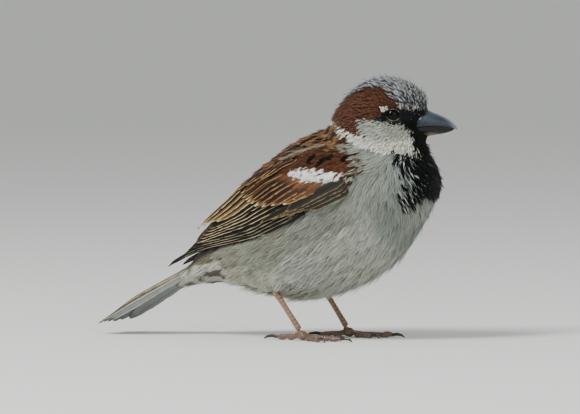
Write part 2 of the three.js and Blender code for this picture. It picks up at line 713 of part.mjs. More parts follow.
/** The whole bird as named meshes. */
function sparrow() {

	const bird = new THREE.Group();
	const sides = [ [ 'right', - 1 ], [ 'left', 1 ] ];
	const body = bodySolids( sides );
	bird.add( piece( 'head', body.head, CHESTNUT ) );
	bird.add( piece( 'neck', body.neck, PALE_GREY ) );
	bird.add( piece( 'trunk', body.trunk, PALE_GREY ) );
	bird.add( piece( 'rump', body.rump, PALE_GREY ) );
	bird.add( piece( 'tail', tail(), TAIL_GREY ) );

	const bite = billHalf( UPPER_BILL_SECTIONS, GAP / 2, true );
	bird.add( piece( 'bill_upper', billHalf( UPPER_BILL_SECTIONS, 0, true ), BILL_BLACK ) );
	bird.add( piece( 'bill_lower', billHalf( LOWER_BILL_SECTIONS, 0, false ).subtract( bite ), BILL_BLACK ) );

	for ( const [ name, side ] of sides ) {

		const wing = wingSolids( side );
		bird.add( piece( `eye_${ name }`, eyeball( side ), EYE_BLACK ) );
		bird.add( piece( `wing_${ name }_coverts`, wing.coverts, CHESTNUT ) );
		bird.add( piece( `wing_${ name }_secondaries`, wing.secondaries, BROWN ) );
		bird.add( piece( `wing_${ name }_primaries`, wing.primaries, DARK_BROWN ) );
		bird.add( ...legPieces( name, side ) );

	}

	return bird;

}

const bird = sparrow();
const middle = new THREE.Box3().setFromObject( bird ).getCenter( new THREE.Vector3() );
bird.position.set( - middle.x, - middle.y, 0 );
const group = new THREE.Group();
group.add( bird );
export default group;
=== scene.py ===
"""A life-size male house sparrow standing at rest, as a still museum model.

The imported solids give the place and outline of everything. One skin of flesh lies inside them by the depth of
the coat, and the coat is laid over it feather by feather: small barbed tufts on head and body, and long vanes
on the wings and tail. Bill, eyes, legs and claws are pieces of their own. Lengths are in millimetres until a
mesh is made.
"""

from __future__ import annotations

import logging
import math
from collections.abc import Callable, Iterable
from dataclasses import dataclass, field
from enum import Enum

import bmesh
import bpy
import numpy as np
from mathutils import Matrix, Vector
from mathutils.bvhtree import BVHTree
from mathutils.kdtree import KDTree


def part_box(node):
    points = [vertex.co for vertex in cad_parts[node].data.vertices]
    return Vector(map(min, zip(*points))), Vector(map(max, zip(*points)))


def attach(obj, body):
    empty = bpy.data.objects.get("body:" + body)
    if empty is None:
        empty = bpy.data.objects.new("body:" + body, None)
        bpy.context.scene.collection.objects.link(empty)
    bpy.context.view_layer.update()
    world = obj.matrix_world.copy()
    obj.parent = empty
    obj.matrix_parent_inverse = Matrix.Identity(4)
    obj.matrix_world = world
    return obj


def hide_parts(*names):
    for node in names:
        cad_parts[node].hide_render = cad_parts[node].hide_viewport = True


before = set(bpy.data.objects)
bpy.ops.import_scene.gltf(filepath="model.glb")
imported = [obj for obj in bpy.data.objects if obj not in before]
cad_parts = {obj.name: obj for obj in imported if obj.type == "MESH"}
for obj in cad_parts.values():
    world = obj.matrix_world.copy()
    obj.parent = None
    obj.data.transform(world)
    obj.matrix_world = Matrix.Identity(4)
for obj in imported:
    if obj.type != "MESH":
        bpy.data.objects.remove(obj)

LOG = logging.getLogger("house_sparrow")
MM = 0.001
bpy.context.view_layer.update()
HANDS = {"right": -1.0, "left": 1.0}
TOES = ("hind", "inner", "middle", "outer")
WING_SEEDS = {"right": 41, "left": 43}
TAIL_SEEDS = {"right": 46, "left": 48}
COLOUR = "Plume"  # the attribute that holds the painted colours
BAKE_MAP = "OFBake"
VANE_MAP = "Vane"
SOLE = 0.02  # height of the soles and claws over the floor
TURN = 2.0 * math.pi

Spot = tuple[float, float, float]
Line = tuple[tuple[float, float], ...]


# ---------------------------------------------------------------- small helpers


def linear(code: str) -> np.ndarray:
    """Turns an sRGB hex colour such as "#6b3a26" into red, green and blue in linear light."""
    shades = np.array([int(code[i : i + 2], 16) / 255.0 for i in (1, 3, 5)])
    return np.where(shades <= 0.04045, shades / 12.92, ((shades + 0.055) / 1.055) ** 2.4)


def rgba(code: str) -> tuple[float, float, float, float]:
    """Gives an sRGB hex colour as the four linear numbers that a colour socket takes."""
    return (*linear(code).tolist(), 1.0)


def smooth(low: float, high: float, value: np.ndarray) -> np.ndarray:
    """Rises smoothly from 0 at low to 1 at high."""
    share = np.clip((value - low) / (high - low), 0.0, 1.0)
    return share * share * (3.0 - 2.0 * share)


def mix(first: np.ndarray, second: np.ndarray, share: np.ndarray) -> np.ndarray:
    """Blends two colours or two arrays of colours by a share for each point."""
    return first + (second - first) * np.asarray(share)[..., None]


def unit(vectors: np.ndarray) -> np.ndarray:
    """Scales vectors to length one."""
    return vectors / np.maximum(np.linalg.norm(vectors, axis=-1, keepdims=True), 1e-9)


def along_line(line: Line, value: np.ndarray) -> np.ndarray:
    """Reads a border's second coordinate at each value of its first."""
    return np.interp(value, [spot[0] for spot in line], [spot[1] for spot in line])


def part(out: np.ndarray, way: np.ndarray) -> tuple[np.ndarray, np.ndarray, np.ndarray]:
    """Parts offsets along and across a direction.

    Args:
        out: Offsets from a place.
        way: A unit direction.

    Returns:
        How far each offset goes along the direction, the rest of it, and the length of that rest.
    """
    along = out @ way
    aside = out - along[:, None] * way
    return along, aside, np.linalg.norm(aside, axis=1)


def mottle(points: np.ndarray, grain: float, seed: int) -> np.ndarray:
    """Gives soft blotches between about -1 and 1, the same on each run.

    Args:
        points: Places in mm.
        grain: About how far apart the blotches are, in mm.
        seed: Which pattern of blotches.

    Returns:
        One number for each point.
    """
    rng = np.random.default_rng(seed)
    total = np.zeros(points.shape[:-1])
    waves = 7
    for _ in range(waves):
        heading = unit(rng.normal(size=3)) * (TURN / (grain * rng.uniform(0.7, 1.9)))
        total += np.sin(points @ heading + rng.uniform(0.0, TURN))
    return total / math.sqrt(waves)


def only(obj: bpy.types.Object) -> None:
    """Makes obj the one selected and active object."""
    bpy.ops.object.select_all(action="DESELECT")
    obj.select_set(True)
    bpy.context.view_layer.objects.active = obj


def apply_modifier(obj: bpy.types.Object, kind: str, **settings: object) -> None:
    """Adds a modifier to obj with its settings and applies it.

    Args:
        obj: The object.
        kind: The modifier's type.
        settings: The modifier's own properties.
    """
    only(obj)
    bpy.ops.object.modifier_add(type=kind)
    modifier = obj.modifiers[-1]
    for name, value in settings.items():
        setattr(modifier, name, value)
    bpy.ops.object.modifier_apply(modifier=modifier.name)


def link(name: str, data: bpy.types.ID) -> bpy.types.Object:
    """Makes an object of its data and links it to the scene."""
    obj = bpy.data.objects.new(name, data)
    bpy.context.scene.collection.objects.link(obj)
    return obj


def add_shape(name: str, add: Callable[..., object], **settings: object) -> bpy.types.Object:
    """Adds a primitive and applies its place.

    Args:
        name: The new object's name.
        add: The operator that adds the primitive.
        settings: The operator's settings.

    Returns:
        The new object.
    """
    bpy.ops.object.select_all(action="DESELECT")
    add(**settings)
    obj = bpy.context.active_object
    obj.name = name
    bpy.ops.object.transform_apply(location=True, rotation=True, scale=True)
    return obj


def cad_copy(name: str, nodes: Iterable[str]) -> bpy.types.Object:
    """Joins copies of CAD nodes into a new object, with each solid's doubles merged.

    Args:
        name: The new object's name.
        nodes: The CAD nodes to copy.

    Returns:
        The new object, linked to the scene.
    """
    work = bmesh.new()
    for node_name in nodes:
        work.from_mesh(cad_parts[node_name].data)
    bmesh.ops.remove_doubles(work, verts=work.verts, dist=1e-6)
    data = bpy.data.meshes.new(name)
    work.to_mesh(data)
    work.free()
    data.materials.clear()
    return link(name, data)


def rounded(
    name: str, nodes: Iterable[str], swell: float, voxel: float, passes: int, factor: float = 0.5
) -> bpy.types.Object:
    """Swells copies of CAD nodes into each other and rounds them into one surface.

    Args:
        name: The new object's name.
        nodes: The CAD nodes.
        swell: How far the solids swell, in mm.
        voxel: The size of the new surface's facets, in mm.
        passes: How often it is smoothed.
        factor: How strongly each pass smooths.

    Returns:
        The new object, linked to the scene.
    """
    obj = cad_copy(name, nodes)
    apply_modifier(obj, "DISPLACE", strength=swell * MM, mid_level=0.0)
    apply_modifier(obj, "REMESH", mode="VOXEL", voxel_size=voxel * MM)
    apply_modifier(obj, "SMOOTH", factor=factor, iterations=passes)
    return obj


def read(rows: bpy.types.bpy_prop_collection, key: str, width: int, kind: type = float) -> np.ndarray:
    """Reads a property of each row of mesh data.

    Args:
        rows: The mesh's vertices, loops, triangles or map.
        key: The property.
        width: How many numbers each row has.
        kind: Their type.

    Returns:
        An array with one line for each row.
    """
    values = np.zeros(len(rows) * width, dtype=kind)
    rows.foreach_get(key, values)
    return values.reshape(-1, width)


def vertices_of(obj: bpy.types.Object) -> np.ndarray:
    """Reads an object's vertices, in mm."""
    return read(obj.data.vertices, "co", 3) / MM


def normals_of(obj: bpy.types.Object) -> np.ndarray:
    """Reads an object's vertex normals."""
    return read(obj.data.vertices, "normal", 3)


def triangles_of(obj: bpy.types.Object) -> np.ndarray:
    """Reads an object's triangles as rows of three vertex numbers."""
    obj.data.calc_loop_triangles()
    return read(obj.data.loop_triangles, "vertices", 3, np.int64)


def move_vertices(obj: bpy.types.Object, places: np.ndarray) -> None:
    """Writes an object's vertices from places in mm."""
    obj.data.vertices.foreach_set("co", (places * MM).ravel())
    obj.data.update()


def tree_of(obj: bpy.types.Object) -> BVHTree:
    """Makes a tree of an object's triangles, in mm, for finding near places and casting rays."""
    return BVHTree.FromPolygons(vertices_of(obj).tolist(), triangles_of(obj).tolist())


def paint(obj: bpy.types.Object, colours: np.ndarray) -> None:
    """Gives each vertex of obj its colour, as the attribute that the finishes read.

    Args:
        obj: The object.
        colours: Its colours in linear light.
    """
    layer = obj.data.color_attributes.new(name=COLOUR, type="FLOAT_COLOR", domain="POINT")
    full = np.ones((len(colours), 4), dtype=np.float32)
    full[:, :3] = np.clip(colours, 0.0, 1.0)
    layer.data.foreach_set("color", full.ravel())


def smooth_faces(obj: bpy.types.Object) -> None:
    """Shades obj smooth all over."""
    only(obj)
    bpy.ops.object.shade_smooth()


def place_piece(obj: bpy.types.Object, slot: str, *nodes: str) -> None:
    """Rides a finished piece on the model's one body and hides the CAD nodes that it stands for.

    Args:
        obj: The finished piece.
        slot: Not used.
        nodes: The CAD nodes that it replaces.
    """
    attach(obj, "root")
    if nodes:
        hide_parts(*nodes)
    LOG.info("%s: %d faces", obj.name, len(obj.data.polygons))


def dress(obj: bpy.types.Object, colours: np.ndarray, finish: Finish, slot: str, *nodes: str) -> None:
    """Paints a smooth piece, gives it its finish and places it.

    Args:
        obj: The piece.
        colours: The colours of its vertices in linear light.
        finish: Its finish.
        slot: Not used.
        nodes: The CAD nodes that it replaces.
    """
    paint(obj, colours)
    smooth_faces(obj)
    obj.data.materials.clear()
    obj.data.materials.append(finish.make())
    place_piece(obj, slot, *nodes)


# ---------------------------------------------------------------- finishes


def add_node(
    tree: bpy.types.NodeTree, kind: str, links: dict[str | int, object] | None = None, **settings: object
) -> bpy.types.Node:
    """Adds a node with its settings, and its inputs linked or set.

    Args:
        tree: The material's node tree.
        kind: The node's type, without the words that all types start with.
        links: For each input, an output socket to link or a value to set.
        settings: The node's own properties.

    Returns:
        The new node.
    """
    made = tree.nodes.new("ShaderNode" + kind)
    for name, value in settings.items():
        setattr(made, name, value)
    for socket, value in (links or {}).items():
        if isinstance(value, bpy.types.NodeSocket):
            tree.links.new(value, made.inputs[socket])
        else:
            made.inputs[socket].default_value = value
    return made


@dataclass(frozen=True)
class Finish:
    """A material that reads a piece's painted colour, with fine variation and relief of its own."""

    name: str
    roughness: float
    specular: float = 0.5
    sheen: float = 0.0
    clearcoat: float = 0.0
    grain: float = 0.5
    variation: float = 0.12
    relief: float = 0.03
    stretch: Spot = (1.0, 1.0, 1.0)

    def height(self, tree: bpy.types.NodeTree) -> bpy.types.NodeSocket:
        """Adds the pattern that varies the colour and gives the relief.

        Args:
            tree: The material's node tree.

        Returns:
            The pattern's height.
        """
        place = add_node(tree, "TexCoord").outputs["Object"]
        turned = add_node(tree, "Mapping", {"Vector": place, "Scale": self.stretch}).outputs[0]
        scale = 1.0 / (self.grain * MM)
        inputs = {"Vector": turned, "Scale": scale, "Detail": 3.0, "Roughness": 0.6}
        return add_node(tree, "TexNoise", inputs).outputs[0]

    def make(self) -> bpy.types.Material:
        """Builds the material once and gives the same one on later calls.

        Returns:
            The material.
        """
        known = bpy.data.materials.get(self.name)
        if known:
            return known
        material = bpy.data.materials.new(self.name)
        material.use_nodes = True
        tree = material.node_tree
        tree.nodes.clear()
        colour = add_node(tree, "Attribute", attribute_name=COLOUR).outputs["Color"]
        height = self.height(tree)
        low, high = 1 - self.variation, 1 + self.variation
        span = {"Value": height, "From Min": 0.25, "From Max": 0.75, "To Min": low, "To Max": high}
        spread = add_node(tree, "MapRange", span)
        varied = add_node(
            tree, "Mix", {0: 1.0, 6: colour, 7: spread.outputs[0]}, data_type="RGBA", blend_type="MULTIPLY"
        )
        bump = add_node(tree, "Bump", {"Height": height, "Strength": 0.6, "Distance": self.relief * MM})
        shader = add_node(
            tree,
            "BsdfPrincipled",
            {
                "Base Color": varied.outputs[2],
                "Normal": bump.outputs[0],
                "Roughness": self.roughness,
                "Specular IOR Level": self.specular,
                "Sheen Weight": self.sheen,
                "Sheen Roughness": 0.5,
                "Coat Weight": self.clearcoat,
                "Coat Roughness": 0.06,
            },
        )
        add_node(tree, "OutputMaterial", {0: shader.outputs[0]})
        return material


@dataclass(frozen=True)
class VaneFinish(Finish):
    """Keratin of a flight feather: a smooth web of fine barbs slanting from the shaft, with a silk sheen."""

    barb: float = 0.5

    def height(self, tree: bpy.types.NodeTree) -> bpy.types.NodeSocket:
        """Adds the slanting barbs, which follow the vane's own map.

        Args:
            tree: The material's node tree.

        Returns:
            The barbs' height.
        """

        def sum_of(kind: str, first: bpy.types.NodeSocket, second: object = 0.0) -> bpy.types.NodeSocket:
            """Works out one sum of two values."""
            return add_node(tree, "Math", {0: first, 1: second}, operation=kind).outputs[0]

        place = add_node(tree, "UVMap", uv_map=VANE_MAP).outputs[0]
        parts = add_node(tree, "SeparateXYZ", {0: place}).outputs
        across = sum_of("ABSOLUTE", parts[0])
        along = sum_of("ADD", parts[1], sum_of("MULTIPLY", across, -1.3))
        run = add_node(tree, "CombineXYZ", {0: along, 1: sum_of("MULTIPLY", across, 0.12)}).outputs[0]
        inputs = {"Vector": run, "Scale": 1.0 / self.barb, "Detail": 2.0, "Roughness": 0.7}
        return add_node(tree, "TexNoise", inputs).outputs[0]


# Contour feathers: matt, downy keratin that scatters light softly at its edges.
DOWNY = Finish("downy_contour_feather", roughness=0.85, specular=0.1, sheen=0.06, grain=0.3, variation=0.14)
# Flesh seen between feathers: dull and dry, painted as the coat over it in a darker tone, as painted shade.
BARE_SKIN = Finish("dry_skin_under_coat", roughness=0.9, specular=0.2, grain=0.6, variation=0.2, relief=0.1)
# Flight feathers: silky webs with a little gloss along the barbs.
WEB = VaneFinish("silky_feather_web", roughness=0.65, specular=0.15, variation=0.2, relief=0.08)
# Bill horn: smooth blue-black keratin with a satin gloss and faint lengthwise wear.
HORN = Finish(
    "satin_bill_horn", roughness=0.33, specular=0.26, clearcoat=0.06, variation=0.24, stretch=(0.35, 1.0, 1.0)
)
# Claw horn: darker and glossier than the scutes of the toe.
CLAW_HORN = Finish("polished_claw_horn", roughness=0.3, clearcoat=0.2, grain=0.4, variation=0.15)
# Wet eye: a dark iris under a clear, mirror-smooth cornea.
CORNEA = Finish("wet_cornea", roughness=0.03, specular=0.14, grain=0.3, variation=0.2, relief=0.0)
# Eyelid: bare, finely wrinkled leathery skin.
LID_SKIN = Finish("wrinkled_lid_skin", roughness=0.6, specular=0.2, grain=0.18, variation=0.35, relief=0.06)
# Leg scutes: thin translucent plates over pink skin, with a slight wet-looking gloss.
SCUTE = Finish("horny_leg_scutes", roughness=0.36, clearcoat=0.1, grain=0.3, variation=0.14, relief=0.05)


# ---------------------------------------------------------------- the bird's own directions


@dataclass(frozen=True)
class Directions:
    """A set of three directions of the bird's own, with places given from its root."""

    root: Spot

    def axes(self) -> np.ndarray:
        """Gives the three directions as rows."""
        raise NotImplementedError

    def local(self, points: np.ndarray) -> np.ndarray:
        """Turns places of the model into distances along the three directions."""
        return (points - np.array(self.root)) @ self.axes().T

    def world(self, places: np.ndarray) -> np.ndarray:
        """Turns distances along the three directions into places of the model."""
        return places @ self.axes() + np.array(self.root)


@dataclass(frozen=True)
class BodyLine(Directions):
    """The line of the body from the root of the tail: along it, to the left side of it and above it."""

    pitch: float

    def axes(self) -> np.ndarray:
        """Gives the directions forward, left and up of the body as rows."""
        cosine, sine = math.cos(math.radians(self.pitch)), math.sin(math.radians(self.pitch))
        return np.array([[cosine, 0.0, sine], [0.0, 1.0, 0.0], [-sine, 0.0, cosine]])

    def centre(self, along: np.ndarray) -> np.ndarray:
        """Gives the height above the line of the middle of the body, which rises towards the tail."""
        return -5.0 + 7.0 * smooth(-10.0, 30.0, 20.0 - along)

    def angle(self, local: np.ndarray) -> np.ndarray:
        """Gives how far round the body a local place lies, in degrees from the middle of the back."""
        rise = local[..., 2] - self.centre(local[..., 0])
        return np.degrees(np.arctan2(np.abs(local[..., 1]), rise))


@dataclass(frozen=True)
class HeadFrame(Directions):
    """The turned head: reach towards the bill, distance to the left, and height."""

    turn: float

    def axes(self) -> np.ndarray:
        """Gives the directions of the bill, left and up as rows."""
        cosine, sine = math.cos(math.radians(self.turn)), math.sin(math.radians(self.turn))
        return np.array([[cosine, sine, 0.0], [-sine, cosine, 0.0], [0.0, 0.0, 1.0]])


BODY = BodyLine((-23.635, 0.0, 26.6), 27.0)
HEAD = HeadFrame((41.465, 0.0, 0.0), 14.0)


@dataclass(frozen=True)
class EyePlace:
    """Where an eye sits in the head and how much of its ball the lids leave bare."""

    reach: float = 3.2
    side: float = 5.8
    height: float = 78.2
    radius: float = 2.9
    opening: float = 2.1
    ahead: float = 0.3
    lift: float = 0.12

    def middle(self, hand: float) -> np.ndarray:
        """Gives the middle of the eyeball on one hand."""
        return HEAD.world(np.array([self.reach, hand * self.side, self.height]))

    def gaze(self, hand: float) -> np.ndarray:
        """Gives the direction in which the eye on one hand looks."""
        tip = np.array([self.reach + self.ahead, hand * (self.side + 1.0), self.height + self.lift])
        return unit(HEAD.world(tip) - self.middle(hand))

    def off(self, points: np.ndarray, hand: float) -> tuple[np.ndarray, np.ndarray, np.ndarray]:
        """Gives how far places lie ahead of an eye, their offsets from its gaze and the lengths of those."""
        return part(points - self.middle(hand), self.gaze(hand))


EYE = EyePlace()


# ---------------------------------------------------------------- tracts of plumage


class Tract(Enum):
    """The parts of the coat, each with its own feathers."""

    CROWN, CHESTNUT, BROW, SPOT, LORES, CHEEK, BAND, THROAT, BIB, NAPE = range(10)
    MANTLE, SHOULDER, BREAST, FLANK, BELLY, THIGH, RUMP = range(10, 17)
    UPPER_TAIL, UNDER_TAIL, WING, BAR = range(17, 21)


FACE_TRACTS = (
    Tract.CROWN, Tract.CHESTNUT, Tract.BROW, Tract.SPOT, Tract.LORES, Tract.CHEEK, Tract.BAND, Tract.THROAT
)


@dataclass(frozen=True)
class Plumage:
    """The feathers of one tract: sizes in mm, and colours from the hidden base to the tip, the darker base
    partly the feathers' own colour and partly painted shade under the overlapping feathers.
    """

    spacing: float
    length: float
    width: float
    barbs: int
    lift: float
    base: str
    main: str
    tip: str
    fray: float = 0.25
    swerve: float = 8.0
    odd: str = "#000000"
    odd_share: float = 0.0
    core: str = ""
    contrast: float = 0.09
    depth: float = 1.4
    strand: float = 0.15
    strand_run: float = 0.5
    slant: float = 26.0
    gather: float = 0.15
    wild: float = 0.0


PLUMAGE: dict[Tract, Plumage] = {
    Tract.CROWN: Plumage(
        0.54, 3.4, 0.42, 4, 1.5, "#0e0f11", "#55575b", "#c8cbcc", fray=0.5, swerve=12, contrast=0.5,
        depth=0.5, strand=0.1, gather=0.75, wild=0.08,
    ),
    Tract.CHESTNUT: Plumage(
        0.48, 2.7, 0.36, 4, 0.8, "#1c0e08", "#4e3022", "#6f4937", fray=0.5, swerve=9, contrast=0.2,
        depth=0.6, strand=0.09, gather=0.5, wild=0.05,
    ),
    Tract.BROW: Plumage(
        0.3, 1.6, 0.14, 3, 1.1, "#8a8678", "#cfcab8", "#e6e2d2", swerve=2, depth=0.5, strand=0.1,
        strand_run=0.85,
    ),
    Tract.SPOT: Plumage(
        0.28, 1.2, 0.34, 5, 1.1, "#b5b3a2", "#d3d0bf", "#e2e0d2", swerve=6, depth=0.6, strand=0.11,
        gather=0.1,
    ),
    Tract.LORES: Plumage(
        0.5, 1.8, 0.32, 3, 0.5, "#060708", "#0e1012", "#33393a", fray=0.4, swerve=15, contrast=0.5,
        depth=0.6, strand=0.08, gather=0.6, wild=0.1, odd="#a4a9a2", odd_share=0.25,
    ),
    Tract.CHEEK: Plumage(
        0.5, 3.0, 0.45, 4, 0.6, "#6a6d61", "#93978b", "#abaea1", fray=0.4, contrast=0.2, depth=0.6,
        strand=0.09, gather=0.4,
    ),
    Tract.BAND: Plumage(
        0.62, 3.4, 0.55, 4, 0.8, "#8f9083", "#c9c9ba", "#dfdfd2", fray=0.45, swerve=9, contrast=0.12,
        depth=0.7, strand=0.1, gather=0.45,
    ),
    Tract.THROAT: Plumage(
        0.56, 2.9, 0.5, 4, 1.1, "#030404", "#080a09", "#1b201e", fray=0.5, swerve=16, contrast=0.3,
        depth=0.4, strand=0.1, gather=0.7, wild=0.25,
    ),
    Tract.BIB: Plumage(
        0.85, 4.8, 1.0, 7, 1.3, "#040505", "#090b0b", "#0f1212", fray=0.35, odd="#c3c5c0", odd_share=0.4,
        contrast=0.3, depth=0.7, strand=0.11, strand_run=0.66, gather=0.35, wild=0.05,
    ),
    Tract.NAPE: Plumage(
        0.85, 4.4, 0.8, 6, 1.0, "#22150e", "#6a4225", "#a58457", fray=0.4, contrast=0.2, depth=0.9,
        strand=0.1, gather=0.4, core="#0e0b0a", odd="#a8946f", odd_share=0.3,
    ),
    Tract.MANTLE: Plumage(
        1.15, 6.5, 1.3, 9, 1.2, "#22150e", "#66402a", "#96724a", swerve=5, core="#0e0b0a", contrast=0.2,
        depth=1.0, strand=0.13, strand_run=0.42, gather=0.2, odd="#b39465", odd_share=0.35,
    ),
    Tract.SHOULDER: Plumage(
        0.9, 4.6, 1.0, 8, 1.2, "#1c0c06", "#462817", "#5f3f29", fray=0.3, swerve=6, core="#0a0807",
        contrast=0.24, depth=1.0, strand=0.11, strand_run=0.45, gather=0.2,
    ),
    Tract.BAR: Plumage(
        0.55, 4.2, 1.0, 9, 1.4, "#c9c7c0", "#e3e3df", "#f1f2f1", fray=0.3, swerve=3, contrast=0.06,
        depth=1.1, strand=0.12, gather=0.2,
    ),
    Tract.BREAST: Plumage(
        1.0, 8.0, 1.2, 11, 1.2, "#6f736c", "#838a80", "#a4aaa0", fray=0.55, swerve=6, contrast=0.1,
        depth=1.2, strand=0.085, strand_run=0.55, gather=0.3, wild=0.05,
    ),
    Tract.FLANK: Plumage(
        1.12, 9.0, 1.4, 11, 1.4, "#5d6057", "#7f8378", "#a4a598", fray=0.7, swerve=9, contrast=0.12,
        strand=0.085, strand_run=0.55, gather=0.3, wild=0.06,
    ),
    Tract.BELLY: Plumage(
        1.12, 9.0, 1.4, 10, 1.4, "#7f8277", "#9a9e92", "#cfd1c8", fray=0.7, swerve=9, contrast=0.12,
        strand=0.085, strand_run=0.55, gather=0.35, wild=0.22,
    ),
    Tract.THIGH: Plumage(
        0.85, 5.0, 0.8, 6, 0.9, "#75786e", "#9a9b8f", "#b3b2a6", fray=0.6, swerve=13, contrast=0.18,
        depth=1.0, strand=0.09, gather=0.5, wild=0.1,
    ),
    Tract.RUMP: Plumage(
        1.2, 7.5, 1.4, 9, 0.7, "#3f3b35", "#68625a", "#857c6b", fray=0.4, swerve=7, contrast=0.16,
        depth=1.3, strand=0.12, gather=0.3,
    ),
    Tract.UPPER_TAIL: Plumage(
        1.2, 9.0, 1.5, 9, 0.7, "#3f3b35", "#625c51", "#857b69", fray=0.3, swerve=6, contrast=0.14,
        depth=1.0, strand=0.14, gather=0.2,
    ),
    Tract.UNDER_TAIL: Plumage(
        1.15, 9.5, 1.4, 10, 1.0, "#7d7c70", "#b3b3a6", "#d0d0c4", fray=0.5, swerve=7, core="#4d3f2a",
        contrast=0.15, depth=1.0, strand=0.11, gather=0.3, wild=0.06,
    ),
}


@dataclass(frozen=True)
class Markings:
    """Where each tract lies: head borders in reach and height, body borders in along and angle round."""

    band_low: Line = (
        (-24, 77.0), (-17, 74.6), (-13.5, 70.5), (-8.3, 67.5), (-0.8, 66.1), (5.1, 64.4), (10, 63.4),
        (16, 63.0),
    )
    chestnut_low: Line = ((-24, 79.0), (-17.0, 75.8), (-13.0, 72.9), (-11.4, 72.2), (-6.4, 70.6))
    chestnut_front: Line = ((70.6, -6.2), (73.5, -8.3), (76.4, -8.9))
    cheek_top: Line = (
        (-9, 76.6), (-1.4, 76.4), (0.7, 75.9), (3.7, 74.3), (6.2, 74.3), (8.8, 72.2), (10, 69.5)
    )
    throat_front: Line = ((63.0, 12.6), (65.7, 10.9), (69.5, 10.0), (72.2, 8.8), (74.3, 6.2))
    black_top: Line = ((-2, 78.6), (0.5, 80.2), (3.2, 80.9), (6.5, 81.0), (11.9, 80.4), (14, 80.2))
    crown_side: Line = (
        (-16, 14.0), (-12, 22.0), (-8.5, 26.0), (-4.5, 33.0), (-0.7, 34.0), (2.8, 50.0), (6.5, 68.0),
        (7, 95.0),
    )
    brow_reach: tuple[float, float] = (4.8, 11.4)
    brow_depth: float = 0.8
    brow_rise: float = 42.0
    brow_pitch: float = 1.35
    spot: tuple[float, float, float, float] = (0.35, 80.5, 0.85, 0.6)
    bill_line: Line = (
        (70.0, 12.0), (71.8, 12.6), (72.9, 11.2), (74.2, 10.6), (76.0, 11.5), (77.7, 12.7), (79.4, 13.6),
        (81, 14.0),
    )
    bib_half: Line = (
        (43.5, 9.0), (46.0, 11.6), (48.0, 12.3), (51, 12.8), (58.7, 13.9), (62, 13.6), (64.5, 12.0),
        (67, 11.0),
    )
    mantle_side: Line = (
        (20, 26), (26, 30), (36, 30), (46, 31), (56, 34), (63.6, 37), (68.7, 42), (71.5, 42), (73, 36),
        (76, 30),
    )
    wing_top: Line = (
        (36, 24), (46.1, 30.2), (52.5, 31.7), (58.5, 34.8), (63.6, 37), (68.7, 44.4), (72, 50)
    )
    bar_top: Line = ((40, 40), (45.8, 46), (47.8, 48), (55.5, 59), (62, 71), (66.7, 77), (69, 78), (73, 80))
    bar_low: Line = (
        (38, 38), (46.0, 46.8), (48.5, 51.5), (53.6, 61), (59.2, 70.5), (62.5, 75.2), (65.2, 76.6),
        (73, 86),
    )
    wing_low: Line = (
        (-20, 60), (-5.7, 64), (1.7, 71), (16, 75), (25.4, 77), (34.6, 81), (47.4, 86), (61, 91),
        (65, 88), (67, 81), (72, 76),
    )
    seed: int = 3
    shoulder_spots: Line = ((69, 58), (63.5, 52), (59.5, 54), (56, 47), (50, 36), (46, 34), (42, 31))

    def tracts(self, points: np.ndarray, ragged: float = 0.0) -> np.ndarray:
        """Says which tract each point lies in.

        Args:
            points: Places of the model.
            ragged: How far the borders wander, in mm.

        Returns:
            The value of a Tract for each point.
        """
        rng = np.random.default_rng(self.seed)
        spots = points + rng.normal(0.0, 1.0, points.shape) * ragged
        body, head = BODY.local(spots), HEAD.local(spots)
        along, angle = body[:, 0], BODY.angle(body)
        ahead, left, height = spots.T
        out = np.full(len(points), Tract.BREAST.value)

        def put(tract: Tract, *tests: np.ndarray) -> None:
            """Sets a tract where all of the tests hold."""
            out[np.logical_and.reduce(tests)] = tract.value

        put(Tract.BELLY, angle > 118, along < 66)
        put(Tract.FLANK, angle <= 118, along < 60)
        put(Tract.RUMP, along < 24, angle < 60)
        put(Tract.UNDER_TAIL, along < 9, angle > 96)
        put(Tract.UPPER_TAIL, along < 7, angle <= 104 - 1.4 * along)
        mantle = angle < along_line(self.mantle_side, along)
        put(Tract.MANTLE, mantle, along >= 22)
        winged = (angle > 44) & (along > 0) | ~mantle & (along > 24)
        winged &= (angle < along_line(self.wing_low, along)) & (along < 69.9)
        put(Tract.WING, winged)
        put(Tract.BAR, winged, angle < along_line(self.bar_low, along), along > 46, along < 65.2)
        put(Tract.SHOULDER, winged, angle < along_line(self.bar_top, along), along > 42)
        low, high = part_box("thigh_right")
        over_thigh = (ahead > low.x / MM) & (ahead < high.x / MM + 8)
        put(Tract.THIGH, over_thigh, height < high.z / MM - 6, np.abs(left) > 7, height < 24)
        half = along_line(self.bib_half, height) + 0.9 * mottle(points, 3.2, 35)
        foot = 45.2 + 4.6 * smooth(-12.5, -3.0, left) + 0.8 * mottle(points, 4.0, 36)
        in_bib = (np.abs(left + 0.4) < half) & (height > foot)
        put(Tract.BIB, in_bib, height < 67, along > 74, head[:, 0] > 2)
        self.mark_head(put, along, head)
        return out

